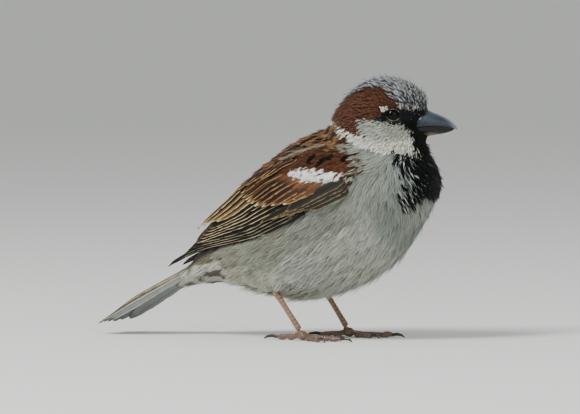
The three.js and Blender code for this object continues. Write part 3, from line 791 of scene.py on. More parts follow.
    def mark_head(self, put: Callable[..., None], along: np.ndarray, head: np.ndarray) -> None:
        """Marks the tracts of the head over those of the body.

        Args:
            put: Sets a tract where tests hold.
            along: Distances along the body line.
            head: Places in the directions of the head.
        """
        reach, side, height = head[:, 0], np.abs(head[:, 1]), head[:, 2]
        in_head = (height > along_line(self.band_low, reach)) & (along > 60)
        top, black_top = along_line(self.cheek_top, reach), along_line(self.black_top, reach)
        behind_eye = reach < along_line(self.chestnut_front, height)
        put(Tract.NAPE, along > 62, height > 66, reach < -12, ~in_head)
        put(Tract.BAND, in_head)
        put(Tract.CHEEK, in_head, height < top, height > 68.5, ~behind_eye)
        brown = height > along_line(self.chestnut_low, reach)
        put(Tract.CHESTNUT, in_head, brown, behind_eye | (height >= top))
        tilt = np.degrees(np.arctan2(side, np.maximum(height - 78.0, 0.01)))
        on_top = (height > 78.5) & (tilt < along_line(self.crown_side, reach))
        put(Tract.CROWN, in_head, on_top, ~behind_eye | (side < 9))
        put(Tract.CROWN, in_head, reach > 6.2, height > black_top)
        put(Tract.LORES, in_head, height >= top, height < black_top, reach > -0.5)
        stripe = (height > 76.2) & (height < 76.2 + 0.42 * (reach + 4.5))
        put(Tract.LORES, in_head, stripe, reach > -4.5, reach <= 0.5)
        brow = (height > black_top - 0.1) & (height < black_top + self.brow_depth) & (side > 3.4)
        dash = np.sin(reach * TURN / self.brow_pitch + 0.6) > 0.8
        put(Tract.BROW, in_head, brow, dash, reach > self.brow_reach[0], reach < self.brow_reach[1])
        middle_reach, middle_height, long, tall = self.spot
        off = ((reach - middle_reach) / long) ** 2 + ((height - middle_height) / tall) ** 2
        put(Tract.SPOT, in_head, off < 1.0)
        put(Tract.THROAT, in_head, reach > along_line(self.throat_front, height), height < 76)
        put(Tract.BAND, in_head, head[:, 1] > 1.2, height > 62.6, height < 65.4, reach > 7.0)

    def darkness(self, tract: Tract, places: np.ndarray) -> np.ndarray:
        """Gives how strongly the dark marks of a tract show at each place.

        Args:
            tract: The tract.
            places: Places of the model.

        Returns:
            Strengths from 0 to 1.
        """
        local = BODY.local(places)
        along, angle = local[..., 0], BODY.angle(local)
        if tract in (Tract.MANTLE, Tract.NAPE):
            lane = angle / 9.8 + 0.13 * mottle(places, 9.0, 31)
            chain = np.sin(along * 0.52 + 2.4 * np.round(lane) + 0.5 * mottle(places, 6.0, 32))
            dark = smooth(-0.35, -0.1, np.cos(TURN * lane)) * smooth(-0.9, -0.8, chain)
            return dark * (1.0 if tract is Tract.MANTLE else 0.8)
        if tract is Tract.SHOULDER:
            dark = np.zeros(along.shape)
            for spot_along, spot_angle in self.shoulder_spots:
                ahead, down = along - spot_along, (angle - spot_angle) * 0.35
                long, across = (0.9 * ahead - 0.42 * down) / 2.4, (0.42 * ahead + 0.9 * down) / 0.85
                dark = np.maximum(dark, smooth(1.2, 0.9, np.hypot(long, across)))
            return dark
        if tract is Tract.FLANK:
            return 0.5 * smooth(0.75, 1.7, mottle(places, 6.0, 33)) * smooth(72.0, 60.0, along)
        if tract is Tract.UNDER_TAIL:
            return 0.9 * smooth(0.2, 0.7, mottle(places * np.array([0.6, 1.0, 1.6]), 5.0, 34))
        return np.zeros(along.shape)


MARKS = Markings()


def lie_of_coat(points: np.ndarray, normals: np.ndarray) -> np.ndarray:
    """Gives the way that feathers point at each place, along the surface.

    On the head they stream away from the bill, and on the body towards the tail, hanging lower on the breast
    and flanks.

    Args:
        points: Places on the skin.
        normals: The skin's outward directions there.

    Returns:
        Unit directions along the skin.
    """
    head, body = HEAD.local(points), BODY.local(points)
    along, angle, height = body[:, 0], BODY.angle(body), points[:, 2]
    source = HEAD.world(np.array([13.0, 0.0, 77.5]))
    away = unit(points - source)
    away[:, 2] -= 0.25 * smooth(79.0, 70.0, head[:, 2])
    droop = 0.95 * smooth(52.0, 78.0, along) + 0.38 * smooth(20.0, 60.0, along)
    low = along_line(MARKS.wing_low, along)
    droop = (droop + 0.1) * smooth(62.0, 92.0, angle) * smooth(low - 2.0, low + 9.0, angle)
    back = -BODY.axes()[0] + np.array([0.0, 0.0, -1.0]) * droop[:, None]
    inward = smooth(68.0, 76.0, along) * smooth(66.0, 60.0, height) * smooth(38.0, 48.0, height)
    sway = np.clip((5.0 - points[:, 1]) / 4.0, -1.0, 1.0)
    inward = 1.1 * inward * smooth(17.0, 13.0, np.abs(points[:, 1])) * sway
    back = unit(back) + inward[:, None] * np.array([0.35, 0.9, -0.2])
    border = along_line(MARKS.band_low, head[:, 0])
    share = smooth(-9.0, 3.0, head[:, 2] - border) * smooth(58.0, 70.0, along)
    flow = away * share[:, None] + unit(back) * (1.0 - share)[:, None]
    flow -= normals * np.sum(flow * normals, axis=1, keepdims=True)
    return unit(flow)


# ---------------------------------------------------------------- the skin


@dataclass
class Skin:
    """One skin over the head, neck, trunk, rump, thighs and shoulders, sunk below the coat."""

    voxel: float = 0.8
    swell: float = 0.45
    lid_depth: float = 0.5
    wing_depth: float = 2.2
    wing_colour: str = "#4a3a2c"
    flesh: tuple[str, ...] = (
        "head", "neck", "trunk", "rump", "thigh_right", "thigh_left",
        "wing_right_coverts", "wing_left_coverts",
    )
    fillers: tuple[str, ...] = ("eye_right", "eye_left", "bill_upper", "bill_lower")
    obj: bpy.types.Object = field(init=False)
    tree: BVHTree = field(init=False)
    places: np.ndarray = field(init=False)
    normals: np.ndarray = field(init=False)
    corners: np.ndarray = field(init=False)
    corner_maps: np.ndarray = field(init=False)

    def build(self) -> None:
        """Closes the gaps between the solids, rounds them into one surface and sinks it under the coat."""
        obj = rounded("skin", self.flesh + self.fillers, self.swell, self.voxel, 8, 0.6)
        self.obj = obj
        places = vertices_of(obj)
        move_vertices(obj, places - normals_of(obj) * (self.swell + self.depths(places))[:, None])
        apply_modifier(obj, "SMOOTH", factor=0.5, iterations=3)
        self.make_room_for_eyes()
        apply_modifier(obj, "TRIANGULATE")
        only(obj)
        bpy.ops.object.mode_set(mode="EDIT")
        bpy.ops.mesh.select_all(action="SELECT")
        bpy.ops.uv.smart_project(angle_limit=1.2, island_margin=0.004)
        bpy.ops.object.mode_set(mode="OBJECT")
        obj.data.uv_layers[0].name = BAKE_MAP
        self.measure()
        self.colour()

    def depths(self, places: np.ndarray) -> np.ndarray:
        """Gives how deep the skin lies under the outline of the coat at each place."""
        tracts = MARKS.tracts(places)
        deep = np.full(len(places), self.lid_depth)
        deep[tracts == Tract.WING.value] = self.wing_depth
        for tract, plumage in PLUMAGE.items():
            deep[tracts == tract.value] = plumage.depth
        head = HEAD.local(places)
        ahead = head[:, 0] - along_line(MARKS.bill_line, head[:, 2])
        return deep + 0.5 * smooth(0.0, 2.0, ahead) * (head[:, 2] > 68)

    def make_room_for_eyes(self) -> None:
        """Presses the skin in behind each eyeball, so that only the lids lie round it."""
        places = vertices_of(self.obj)
        for hand in HANDS.values():
            ahead, _, off = EYE.off(places, hand)
            room = np.sqrt(np.maximum((EYE.radius - 0.1) ** 2 - off**2, 0.0)) - 0.15
            deep = (off < EYE.opening + 0.2) & (ahead > 0) & (ahead > room)
            places[deep] -= EYE.gaze(hand) * (ahead - room)[deep][:, None]
        move_vertices(self.obj, places)

    def measure(self) -> None:
        """Keeps the skin's places, normals, triangles and map as arrays for the coat."""
        data = self.obj.data
        self.places, self.normals = vertices_of(self.obj), normals_of(self.obj)
        self.corners = triangles_of(self.obj)
        loops = read(data.loop_triangles, "loops", 3, np.int64)
        self.corner_maps = read(data.uv_layers[BAKE_MAP].data, "uv", 2)[loops]
        self.tree = tree_of(self.obj)

    def settle(self, points: np.ndarray) -> tuple[np.ndarray, np.ndarray, np.ndarray]:
        """Finds the nearest places on the skin.

        Args:
            points: Places near the skin.

        Returns:
            The places on the skin, the outward directions there, and their places on the skin's map.
        """
        found = [self.tree.find_nearest(point) for point in points.tolist()]
        hits, faces = (np.array([spot[k] for spot in found]) for k in (0, 2))
        shares = self.shares(hits, faces)
        normals = unit(np.einsum("nk,nkd->nd", shares, self.normals[self.corners[faces]]))
        maps = np.einsum("nk,nkd->nd", shares, self.corner_maps[faces])
        return hits, normals, maps

    def shares(self, hits: np.ndarray, faces: np.ndarray) -> np.ndarray:
        """Gives how much each corner of a triangle counts at a place inside it."""
        first, second, third = (self.places[self.corners[faces, k]] for k in range(3))
        edge_a, edge_b, out = second - first, third - first, hits - first
        pairs = ((edge_a, edge_a), (edge_a, edge_b), (edge_b, edge_b), (out, edge_a), (out, edge_b))
        aa, ab, bb, oa, ob = (np.sum(p * q, axis=1) for p, q in pairs)
        below = np.maximum(aa * bb - ab * ab, 1e-12)
        share_a = (bb * oa - ab * ob) / below
        share_b = (aa * ob - ab * oa) / below
        return np.clip(np.stack([1.0 - share_a - share_b, share_a, share_b], axis=1), 0.0, 1.0)

    def colour(self) -> None:
        """Paints the skin with the coat's markings, darker than the feathers as painted shade where it shows
        between them.
        """
        tracts = MARKS.tracts(self.places, ragged=0.3)
        colours = np.tile(linear(self.wing_colour), (len(tracts), 1))
        for tract, plumage in PLUMAGE.items():
            # Painted shade: a mix of base and main colour, darker than the coat, for the shade between
            # feathers.
            colours[tracts == tract.value] = mix(linear(plumage.base), linear(plumage.main), 0.55)
        colours = colours * (1.0 + 0.1 * mottle(self.places, 3.0, 5))[:, None]
        dress(self.obj, colours, BARE_SKIN, "feather_grey", *self.flesh)


# ---------------------------------------------------------------- feather meshes


@dataclass
class FeatherMesh:
    """Collects the triangles of many feathers and makes them one mesh."""

    parts: list[tuple[np.ndarray, ...]] = field(default_factory=list)
    count: int = 0

    def add(self, faces: np.ndarray, *rows: np.ndarray) -> None:
        """Adds feathers.

        Args:
            faces: Triangles, counted from the first of these vertices.
            rows: For each vertex its place in mm, the direction in which it is shaded, its colour in linear
                light, its place on the feather in mm across and along it, and its place on the baking map.
        """
        flat = [row.reshape(-1, row.shape[-1]) for row in rows]
        self.parts.append((faces + self.count, *flat))
        self.count += len(flat[0])

    def make(self, name: str, finish: Finish) -> bpy.types.Object:
        """Makes the collected feathers one object.

        Args:
            name: The object's name.
            finish: The finish of its feathers.

        Returns:
            The new object, linked to the scene.
        """
        faces, places, shading, colours, maps, patches = (np.concatenate(rows) for rows in zip(*self.parts))
        corners = faces.ravel()
        data = bpy.data.meshes.new(name)
        data.vertices.add(len(places))
        data.vertices.foreach_set("co", (places * MM).ravel())
        data.loops.add(len(corners))
        data.loops.foreach_set("vertex_index", corners.astype(np.int32))
        data.polygons.add(len(faces))
        data.polygons.foreach_set("loop_start", np.arange(0, len(corners), 3, dtype=np.int32))
        data.update(calc_edges=True)
        for layer_name, spots in ((BAKE_MAP, patches), (VANE_MAP, maps)):
            data.uv_layers.new(name=layer_name).data.foreach_set("uv", spots[corners].ravel())
        obj = link(name, data)
        paint(obj, colours)
        data.normals_split_custom_set_from_vertices(unit(shading).tolist())
        data.materials.append(finish.make())
        return obj


@dataclass
class Tufts:
    """Barbed contour feathers of one tract, laid over the skin."""

    skin: Skin
    tract: Tract
    rng: np.random.Generator
    steps: int = 5
    patch: float = 0.003  # side of a feather's patch on the baking map
    wing_rim: str = "#8d8a7c"

    def outline(
        self, plumage: Plumage, lengths: np.ndarray, widths: np.ndarray
    ) -> tuple[np.ndarray, np.ndarray, np.ndarray]:
        """Lays out each feather's blades of barbs in its own plane, every blade with five corners.

        The barbs run nearly along the shaft, end on a rounded outline and draw together at their tips.

        Args:
            plumage: The tract's feathers.
            lengths: The feathers' lengths.
            widths: Their half widths.

        Returns:
            Places along and across the feathers, in mm, and how near each corner is to its blade's tip.
        """
        rng, half = self.rng, plumage.barbs
        shape = (len(lengths), 2 * half)
        long, wide = lengths[:, None], widths[:, None]
        rank = np.tile(np.linspace(0.0, 1.0, half), 2)
        hand = np.repeat([1.0, -1.0], half)
        swing = np.radians(5.0 + 90.0 * rank) + rng.normal(0.0, 0.07, shape)
        slant = np.radians(plumage.slant * (0.25 + 0.75 * rank)) + rng.normal(0.0, 0.07, shape)
        run = plumage.strand_run * long * rng.uniform(0.75, 1.15, shape)
        tip_along = (0.6 + 0.4 * np.cos(swing)) * long
        tip_across = np.sin(swing) * hand * wide
        root_along = np.maximum(tip_along - run * np.cos(slant), 0.02 * long)
        root_across = hand * np.maximum(tip_across * hand - run * np.sin(slant), 0.06 * wide)
        tip_along = tip_along - 0.45 * plumage.fray * rng.random(shape) * run
        tip_across = tip_across * (1.0 - plumage.gather)
        bend_along = (root_along + tip_along) / 2
        bend_across = (root_across + tip_across) / 2 + 0.05 * hand * run
        step_along, step_across = tip_along - root_along, tip_across - root_across
        norm = np.maximum(np.hypot(step_along, step_across), 1e-6)
        corners = []
        for at_along, at_across, thick in (
            (root_along, root_across, 0.8 * plumage.strand), (bend_along, bend_across, plumage.strand)
        ):
            for turn in (-thick, thick):
                corners.append((at_along - turn * step_across / norm, at_across + turn * step_along / norm))
        corners.append((tip_along, tip_across))
        along, across = (np.stack(rows, axis=-1) for rows in zip(*corners))
        return along, across, np.broadcast_to(np.array([0.0, 0.0, 0.55, 0.55, 1.0]), along.shape)

    def trails(
        self, roots: np.ndarray, lengths: np.ndarray, swerves: np.ndarray
    ) -> tuple[np.ndarray, np.ndarray, np.ndarray]:
        """Follows the coat's lie from each root over the skin.

        Args:
            roots: Places on the skin.
            lengths: The feathers' lengths.
            swerves: How far each turns from the lie, in degrees.

        Returns:
            The stations of each feather's shaft, the outward directions there, and the roots' places on
            the map.
        """
        points, normals, maps = self.skin.settle(roots)
        stations, rises = [points], [normals]
        turn = np.radians(swerves)[:, None]
        for _ in range(self.steps - 1):
            flow = lie_of_coat(points, normals)
            flow = flow * np.cos(turn) + np.cross(normals, flow) * np.sin(turn)
            points, normals, _ = self.skin.settle(points + flow * (lengths / (self.steps - 1))[:, None])
            stations.append(points)
            rises.append(normals)
        return np.stack(stations, axis=1), np.stack(rises, axis=1), maps

    def grow(self, mesh: FeatherMesh, roots: np.ndarray) -> None:
        """Grows a feather from each root into the mesh.

        Args:
            mesh: Where the feathers go.
            roots: Places on the skin.
        """
        plumage, rng = PLUMAGE[self.tract], self.rng
        count = len(roots)
        if not count:
            return
        wild = rng.random(count) < plumage.wild
        odd = rng.random(count) < self.odd_chance(plumage, roots)
        longer = 1.3 if self.tract is Tract.BELLY else 1.1
        size = self.sizes(roots) * rng.normal(1.0, 0.09, count) * np.where(wild, longer, 1.0)
        lengths = plumage.length * size
        widths = plumage.width * (0.35 + 0.65 * size)
        turns = rng.normal(0.0, plumage.swerve, count)
        if self.tract is Tract.BROW:
            turns = turns + MARKS.brow_rise * np.sign(HEAD.local(roots)[:, 1])
        stations, rises, maps = self.trails(roots, lengths, turns)
        ways = np.gradient(stations, axis=1)
        ways = unit(ways - rises * np.sum(ways * rises, axis=2, keepdims=True))
        sides = np.cross(rises, ways)
        along_mm, across_mm, edge = self.outline(plumage, lengths, widths)
        along, across = along_mm / lengths[:, None, None], across_mm / widths[:, None, None]
        lift = plumage.lift * (0.4 + 0.6 * size) * rng.uniform(0.75, 1.2, count)
        lift = lift * (1.0 + 0.9 * wild + 0.35 * odd)
        stray = rng.normal(0.0, 0.1 + 0.5 * plumage.fray, along.shape[:2]) * plumage.lift * 0.4
        rise = lift[:, None, None] * np.clip(along, 0, 1.2) ** np.where(wild, 1.5, 0.8)[:, None, None] - 0.12
        rise = rise - 0.14 * across**2 * widths[:, None, None]
        rise = rise + stray[:, :, None] * edge * np.clip(along, 0.0, 1.0)
        flat = along.reshape(count, -1)
        out, sideways = unit(self.between(rises, flat)), self.between(sides, flat)
        shaft = self.between(stations, flat) + sideways * across_mm.reshape(count, -1)[..., None]
        places = shaft + out * rise.reshape(count, -1)[..., None]
        lean = across * 0.35 + rng.normal(0.0, 0.16, along.shape[:2])[:, :, None]
        shading = out + sideways * lean.reshape(count, -1)[..., None]
        colours = self.colours(plumage, places.reshape(*along.shape, 3), along, edge, odd)
        spread = np.stack([across * 0.5, np.clip(along, 0.0, 1.0) - 0.5], axis=-1).reshape(count, -1, 2)
        patches = maps[:, None, :] + spread * self.patch
        vane = np.stack([across_mm, along_mm], axis=-1)
        mesh.add(self.blade_faces(count * along.shape[1]), places, shading, colours, vane, patches)

    def sizes(self, roots: np.ndarray) -> np.ndarray:
        """Gives the relative size of the feather at each root, smallest beside the bill and eyes."""
        size = np.ones(len(roots))
        if self.tract in FACE_TRACTS and self.tract not in (Tract.SPOT, Tract.BROW):
            bill = HEAD.world(np.array([12.0, 0.0, 76.5]))
            size *= 0.5 + 0.5 * smooth(4.0, 13.0, np.linalg.norm(roots - bill, axis=1))
            for hand in HANDS.values():
                off = np.linalg.norm(roots - EYE.middle(hand) - EYE.gaze(hand) * 2.4, axis=1)
                size *= 0.32 + 0.68 * smooth(2.7, 6.2, off)
        return size

    @staticmethod
    def blade_faces(blades: int) -> np.ndarray:
        """Gives the three triangles of each blade, with their faces outwards."""
        first = (np.arange(blades) * 5)[:, None, None]
        return (first + np.array([[0, 2, 3], [0, 3, 1], [2, 4, 3]])).reshape(-1, 3)

    @staticmethod
    def between(stations: np.ndarray, along: np.ndarray) -> np.ndarray:
        """Reads values given at even stations of each feather at the shares of length asked for."""
        last = stations.shape[1] - 1
        place = along * last
        low = np.clip(np.floor(place).astype(int), 0, last - 1)
        share = (place - low)[..., None]
        rows = np.arange(len(stations))[:, None]
        return stations[rows, low] * (1.0 - share) + stations[rows, low + 1] * share

    def colours(
        self, plumage: Plumage, places: np.ndarray, along: np.ndarray, edge: np.ndarray, odd: np.ndarray
    ) -> np.ndarray:
        """Colours each corner of each blade.

        Args:
            plumage: The tract's feathers.
            places: Where the corners are.
            along: Shares of length.
            edge: Nearness to the blade's tip.
            odd: Which feathers have the odd colour.

        Returns:
            Colours in linear light.
        """
        # Darker towards the hidden base: partly the feathers' own colour, partly painted shade where they
        # overlap.
        out = mix(linear(plumage.base), linear(plumage.main), smooth(0.15, 0.55, along))
        out = mix(out, linear(plumage.tip), 0.8 * edge**1.5 * smooth(0.35, 0.9, along))
        dark = MARKS.darkness(self.tract, places[:, :, 3:].mean(axis=2, keepdims=True))
        out = mix(out, linear(plumage.core or plumage.base), dark)
        if self.tract in (Tract.MANTLE, Tract.SHOULDER):
            local = BODY.local(places)
            off = (BODY.angle(local) - along_line(MARKS.wing_top, local[..., 0])) / 1.7
            out = mix(out, linear(self.wing_rim), 0.8 * np.exp(-(off**2)) * smooth(43.0, 47.0, local[..., 0]))
        if plumage.odd_share:
            rank = np.tile(np.linspace(0.0, 1.0, plumage.barbs), 2)
            low = 0.7 - 0.35 * smooth(-9.0, -11.0, places[:, :, 4, 1]) * (self.tract is Tract.BIB)
            rim = (rank > low) & (np.repeat([1, 0], plumage.barbs) > 0)
            pale = np.where(odd[:, None] & rim, 0.9, 0.0)[:, :, None] * smooth(-0.6, 0.3, edge)
            out = mix(out, linear(plumage.odd), pale)
        feather = self.rng.normal(1.0, plumage.contrast * 0.4, (len(places), 1, 1, 1))
        blade = self.rng.normal(1.0, plumage.contrast, (*along.shape[:2], 1, 1))
        return np.clip(out * feather * np.clip(blade, 0.3, 1.8) * self.region_tone(places), 0.0, 1.0)

    def odd_chance(self, plumage: Plumage, roots: np.ndarray) -> np.ndarray:
        """Gives the chance that each feather has the tract's pale edge, greatest at the foot of the bib."""
        if self.tract is Tract.BIB:
            side = smooth(-6.0, -11.0, roots[:, 1]) + smooth(7.0, 11.0, roots[:, 1])
            return 0.2 + 0.35 * smooth(62.0, 48.0, roots[:, 2]) + 0.35 * side
        return np.full(len(roots), plumage.odd_share)

    def region_tone(self, places: np.ndarray) -> np.ndarray:
        """Gives soft warm, cool, light and dark drifts over the coat."""
        light = 1.0 + 0.05 * mottle(places, 9.0, 21) + 0.05 * mottle(places, 3.0, 22)
        warm = 0.025 * mottle(places, 14.0, 23)
        if self.tract is Tract.CHEEK:
            light = light * (1.0 + 0.32 * smooth(72.2, 69.2, places[..., 2]))
        if self.tract is Tract.CHESTNUT:
            light = light * (1.0 - 0.3 * smooth(82.5, 86.5, places[..., 2]))
        if self.tract in (Tract.BELLY, Tract.FLANK):
            warm = warm + 0.05 * smooth(45.0, 15.0, BODY.local(places)[..., 0])
        return np.stack([light + warm, light, light - warm * 1.3], axis=-1)


# The pieces of the coat: each one's name, the slot of its finish and its tracts.
COAT_PIECES = (
    ("crown", "feather_grey", (Tract.CROWN,)),
    ("chestnut", "feather_chestnut", (Tract.CHESTNUT,)),
    ("cheeks", "feather_grey", (Tract.CHEEK, Tract.BAND, Tract.SPOT, Tract.BROW)),
    ("lores_and_bib", "feather_dark", (Tract.LORES, Tract.THROAT, Tract.BIB)),
    ("mantle", "feather_brown", (Tract.NAPE, Tract.MANTLE)),
    ("wing_bars", "feather_grey", (Tract.BAR,)),
    ("shoulders", "feather_chestnut", (Tract.SHOULDER,)),
    ("breast", "feather_grey", (Tract.BREAST,)),
    ("flanks", "feather_grey", (Tract.FLANK,)),
    ("belly", "feather_grey", (Tract.BELLY, Tract.THIGH)),
    ("rump", "feather_brown", (Tract.RUMP, Tract.UPPER_TAIL)),
    ("under_tail", "feather_grey", (Tract.UNDER_TAIL,)),
)


@dataclass
class Coat:
    """The small feathers of the head and body."""

    skin: Skin
    seed: int = 11
    crowding: float = 12.0
    reach: float = 0.7

    def scatter(self, rng: np.random.Generator) -> tuple[np.ndarray, np.ndarray]:
        """Spreads roots over the skin, as close as each tract's feathers stand.

        Args:
            rng: The random draws.

        Returns:
            The roots and the tract of each.
        """
        corners = self.skin.places[self.skin.corners]
        first, second, third = (corners[:, k] for k in range(3))
        areas = np.linalg.norm(np.cross(second - first, third - first), axis=1) / 2
        count = int(areas.sum() * self.crowding)
        faces = rng.choice(len(areas), count, p=areas / areas.sum())
        shares = rng.dirichlet((1.0, 1.0, 1.0), count)
        points = np.einsum("nk,nkd->nd", shares, corners[faces])
        normals = unit(np.einsum("nk,nkd->nd", shares, self.skin.normals[self.skin.corners[faces]]))
        points, tracts = self.sort(points, normals)
        roots, kinds = [], []
        for tract, plumage in PLUMAGE.items():
            group = points[tracts == tract.value]
            if len(group):
                group = self.thin(group, plumage.spacing)
                roots.append(group)
                kinds.append(np.full(len(group), tract.value))
        return np.concatenate(roots), np.concatenate(kinds)

    def sort(self, points: np.ndarray, normals: np.ndarray) -> tuple[np.ndarray, np.ndarray]:
        """Finds the tract that each feather ends in, and leaves out those of bare places and of the wings.

        Args:
            points: Roots on the skin.
            normals: The skin's outward directions there.

        Returns:
            The roots kept and the tract of each.
        """
        near = MARKS.tracts(points)
        lengths = np.zeros(len(points))
        for tract, plumage in PLUMAGE.items():
            lengths[near == tract.value] = plumage.length
        ends = points + lie_of_coat(points, normals) * (self.reach * lengths)[:, None]
        tracts = MARKS.tracts(ends, ragged=0.4)
        small = np.isin(near, [tract.value for tract in FACE_TRACTS])
        bare = self.bare(points) & self.bare(np.where(small[:, None], (points + ends) / 2, points))
        beside = np.isin(tracts, [Tract.FLANK.value, Tract.BREAST.value, Tract.RUMP.value])
        far = MARKS.tracts(points + (ends - points) * 1.6) == Tract.WING.value
        over_wing = beside & far & (BODY.local(points)[:, 0] < 62.0)
        keep = bare & (tracts != Tract.WING.value) & ~over_wing
        return points[keep], tracts[keep]

    @staticmethod
    def thin(group: np.ndarray, spacing: float) -> np.ndarray:
        """Leaves out the places that lie nearer than the spacing to one before them."""
        tree = KDTree(len(group))
        for number, point in enumerate(group.tolist()):
            tree.insert(point, number)
        tree.balance()
        alive = np.ones(len(group), dtype=bool)
        for number, point in enumerate(group.tolist()):
            if alive[number]:
                for _, other, _ in tree.find_range(point, spacing):
                    if other > number:
                        alive[other] = False
        return group[alive]

    def bare(self, points: np.ndarray) -> np.ndarray:
        """Says where feathers may root: not on the eyes or under the bill's horn."""
        head = HEAD.local(points)
        free = (head[:, 0] < along_line(MARKS.bill_line, head[:, 2])) | (head[:, 2] < 69.0)
        for hand in HANDS.values():
            ahead, _, off = EYE.off(points, hand)
            free &= ~((off < EYE.opening + 0.5) & (ahead > 0))
        return free

    def build(self) -> None:
        """Grows every tract and makes the pieces of the coat."""
        rng = np.random.default_rng(self.seed)
        roots, kinds = self.scatter(rng)
        for name, slot, tracts in COAT_PIECES:
            mesh = FeatherMesh()
            for tract in tracts:
                Tufts(self.skin, tract, rng).grow(mesh, roots[kinds == tract.value])
            place_piece(mesh.make(f"coat_{name}", DOWNY), slot)


# ---------------------------------------------------------------- wings and tail


@dataclass
class Form:
    """A surface that vanes lie on, measured from CAD nodes as one height over a grid of places."""

    nodes: tuple[str, ...]
    first: tuple[float, float]
    last: tuple[float, float]
    steps: tuple[int, int]
    start: float  # the height that the rays are cast from
    blur: int = 2
    heights: np.ndarray = field(init=False)

    def ray(self, p: np.ndarray, q: np.ndarray, height: np.ndarray) -> np.ndarray:
        """Gives the place over each grid place at a height, on the right of the body."""
        raise NotImplementedError

    def measure(self) -> None:
        """Casts a ray down at each grid place, then fills what no ray hit and softens the facets."""
        solid = cad_copy("form", self.nodes)
        tree = tree_of(solid)
        bpy.data.objects.remove(solid)
        lines = (np.linspace(self.first[k], self.last[k], self.steps[k]) for k in (0, 1))
        p, q = np.meshgrid(*lines, indexing="ij")
        tops = self.ray(p.ravel(), q.ravel(), np.full(p.size, self.start))
        feet = self.ray(p.ravel(), q.ravel(), np.zeros(p.size))
        found = np.full(p.size, np.nan)
        for number, (top, way) in enumerate(zip(tops.tolist(), unit(feet - tops).tolist())):
            hit = tree.ray_cast(top, way)
            if hit[0] is not None:
                found[number] = self.start - hit[3]
        self.heights = self.soften(self.fill(found.reshape(p.shape)))

    @staticmethod
    def around(grid: np.ndarray, **padding: object) -> np.ndarray:
        """Gives each grid place's four neighbours, with the rim padded."""
        wide = np.pad(grid, 1, **padding)
        return np.stack([wide[2:, 1:-1], wide[:-2, 1:-1], wide[1:-1, 2:], wide[1:-1, :-2]])

    def fill(self, grid: np.ndarray) -> np.ndarray:
        """Spreads the known heights into the unknown ones."""
        while np.isnan(grid).any():
            around = self.around(grid, constant_values=np.nan)
            known = (~np.isnan(around)).sum(axis=0)
            mean = np.nansum(around, axis=0) / np.maximum(known, 1)
            grid = np.where(np.isnan(grid) & (known > 0), mean, grid)
        return grid

    def soften(self, grid: np.ndarray) -> np.ndarray:
        """Averages each height with its neighbours a few times."""
        for _ in range(self.blur):
            grid = (self.around(grid, mode="edge").sum(axis=0) + 4.0 * grid) / 8.0
        return grid

    def height_at(self, p: np.ndarray, q: np.ndarray) -> np.ndarray:
        """Reads the surface's height between the grid's places."""
        spots = []
        for k, value in enumerate((p, q)):
            spread = (value - self.first[k]) / (self.last[k] - self.first[k]) * (self.steps[k] - 1)
            spots.append(np.clip(spread, 0.0, self.steps[k] - 1.001))
        i, j = (np.floor(spot).astype(int) for spot in spots)
        a, b = spots[0] - i, spots[1] - j
        near, far = (self.heights[i + k, j] * (1 - b) + self.heights[i + k, j + 1] * b for k in (0, 1))
        return near * (1 - a) + far * a

    def place(self, p: np.ndarray, q: np.ndarray, above: np.ndarray, hand: float) -> np.ndarray:
        """Gives places at a height above the surface, on either hand.

        Args:
            p: Distances along the body line.
            q: The second coordinate of the form.
            above: Heights above the surface.
            hand: -1 on the right and 1 on the left.

        Returns:
            Places of the model.
        """
        return self.ray(p, q, self.height_at(p, q) + above) * np.array([1.0, -hand, 1.0])

    def pace(self, p: np.ndarray, q: np.ndarray, ahead: float, aside: float) -> np.ndarray:
        """Gives how many mm a small step in the form's coordinates covers at each place."""
        ends = [self.place(p + k * ahead, q + k * aside, np.zeros(len(p)), -1.0) for k in (0.5, -0.5)]
        return np.linalg.norm(ends[0] - ends[1], axis=1)


@dataclass
class WingForm(Form):
    """The folded wing's outer surface, by distance along the body and angle round it."""

    nodes: tuple[str, ...] = ("wing_right_coverts", "wing_right_secondaries", "wing_right_primaries")
    first: tuple[float, float] = (-20.0, -6.0)
    last: tuple[float, float] = (80.0, 129.0)
    steps: tuple[int, int] = (68, 46)
    start: float = 60.0

    def ray(self, p: np.ndarray, q: np.ndarray, height: np.ndarray) -> np.ndarray:
        """Gives the place at a distance out from the middle of the body."""
        swing = np.radians(q)
        local = np.stack([p, -np.sin(swing) * height, BODY.centre(p) + np.cos(swing) * height], axis=-1)
        return BODY.world(local)


@dataclass
class TailForm(Form):
    """The tail's upper surface, by distance along the body line and to the side of it."""

    nodes: tuple[str, ...] = ("tail",)
    first: tuple[float, float] = (-50.0, -11.0)
    last: tuple[float, float] = (2.0, 11.0)
    steps: tuple[int, int] = (40, 24)
    start: float = 20.0
    blur: int = 3
    arch: float = 2.1

    def ray(self, p: np.ndarray, q: np.ndarray, height: np.ndarray) -> np.ndarray:
        """Gives the place at a height above the body line."""
        return BODY.world(np.stack([p, -q, height], axis=-1))

    def height_at(self, p: np.ndarray, q: np.ndarray) -> np.ndarray:
        """Arches the folded feathers over each other, highest along the middle."""
        arch = self.arch * smooth(-52.0, -30.0, p) * (1.0 - 0.5 * smooth(-14.0, 0.0, p))
        return super().height_at(p, q) + arch * (1.0 - 1.4 * (q / 9.0) ** 2)


@dataclass(frozen=True)
class VaneStyle:
    """The colours and outline of a vane. Across, 0 is the shaft, 1 the outer edge and -1 the inner one."""

    ground: str
    core: str
    margin: str
    tip: str
    under: str
    core_at: float = -0.1
    core_width: float = 0.35
    margin_from: float = 0.72
    inner_from: float = 0.9
    tip_from: float = 0.95
    close: float = 0.72
    power: float = 2.0
    camber: float = 0.15
    tilt: float = 0.3
    core_from: float = -0.1
    contrast: float = 0.06


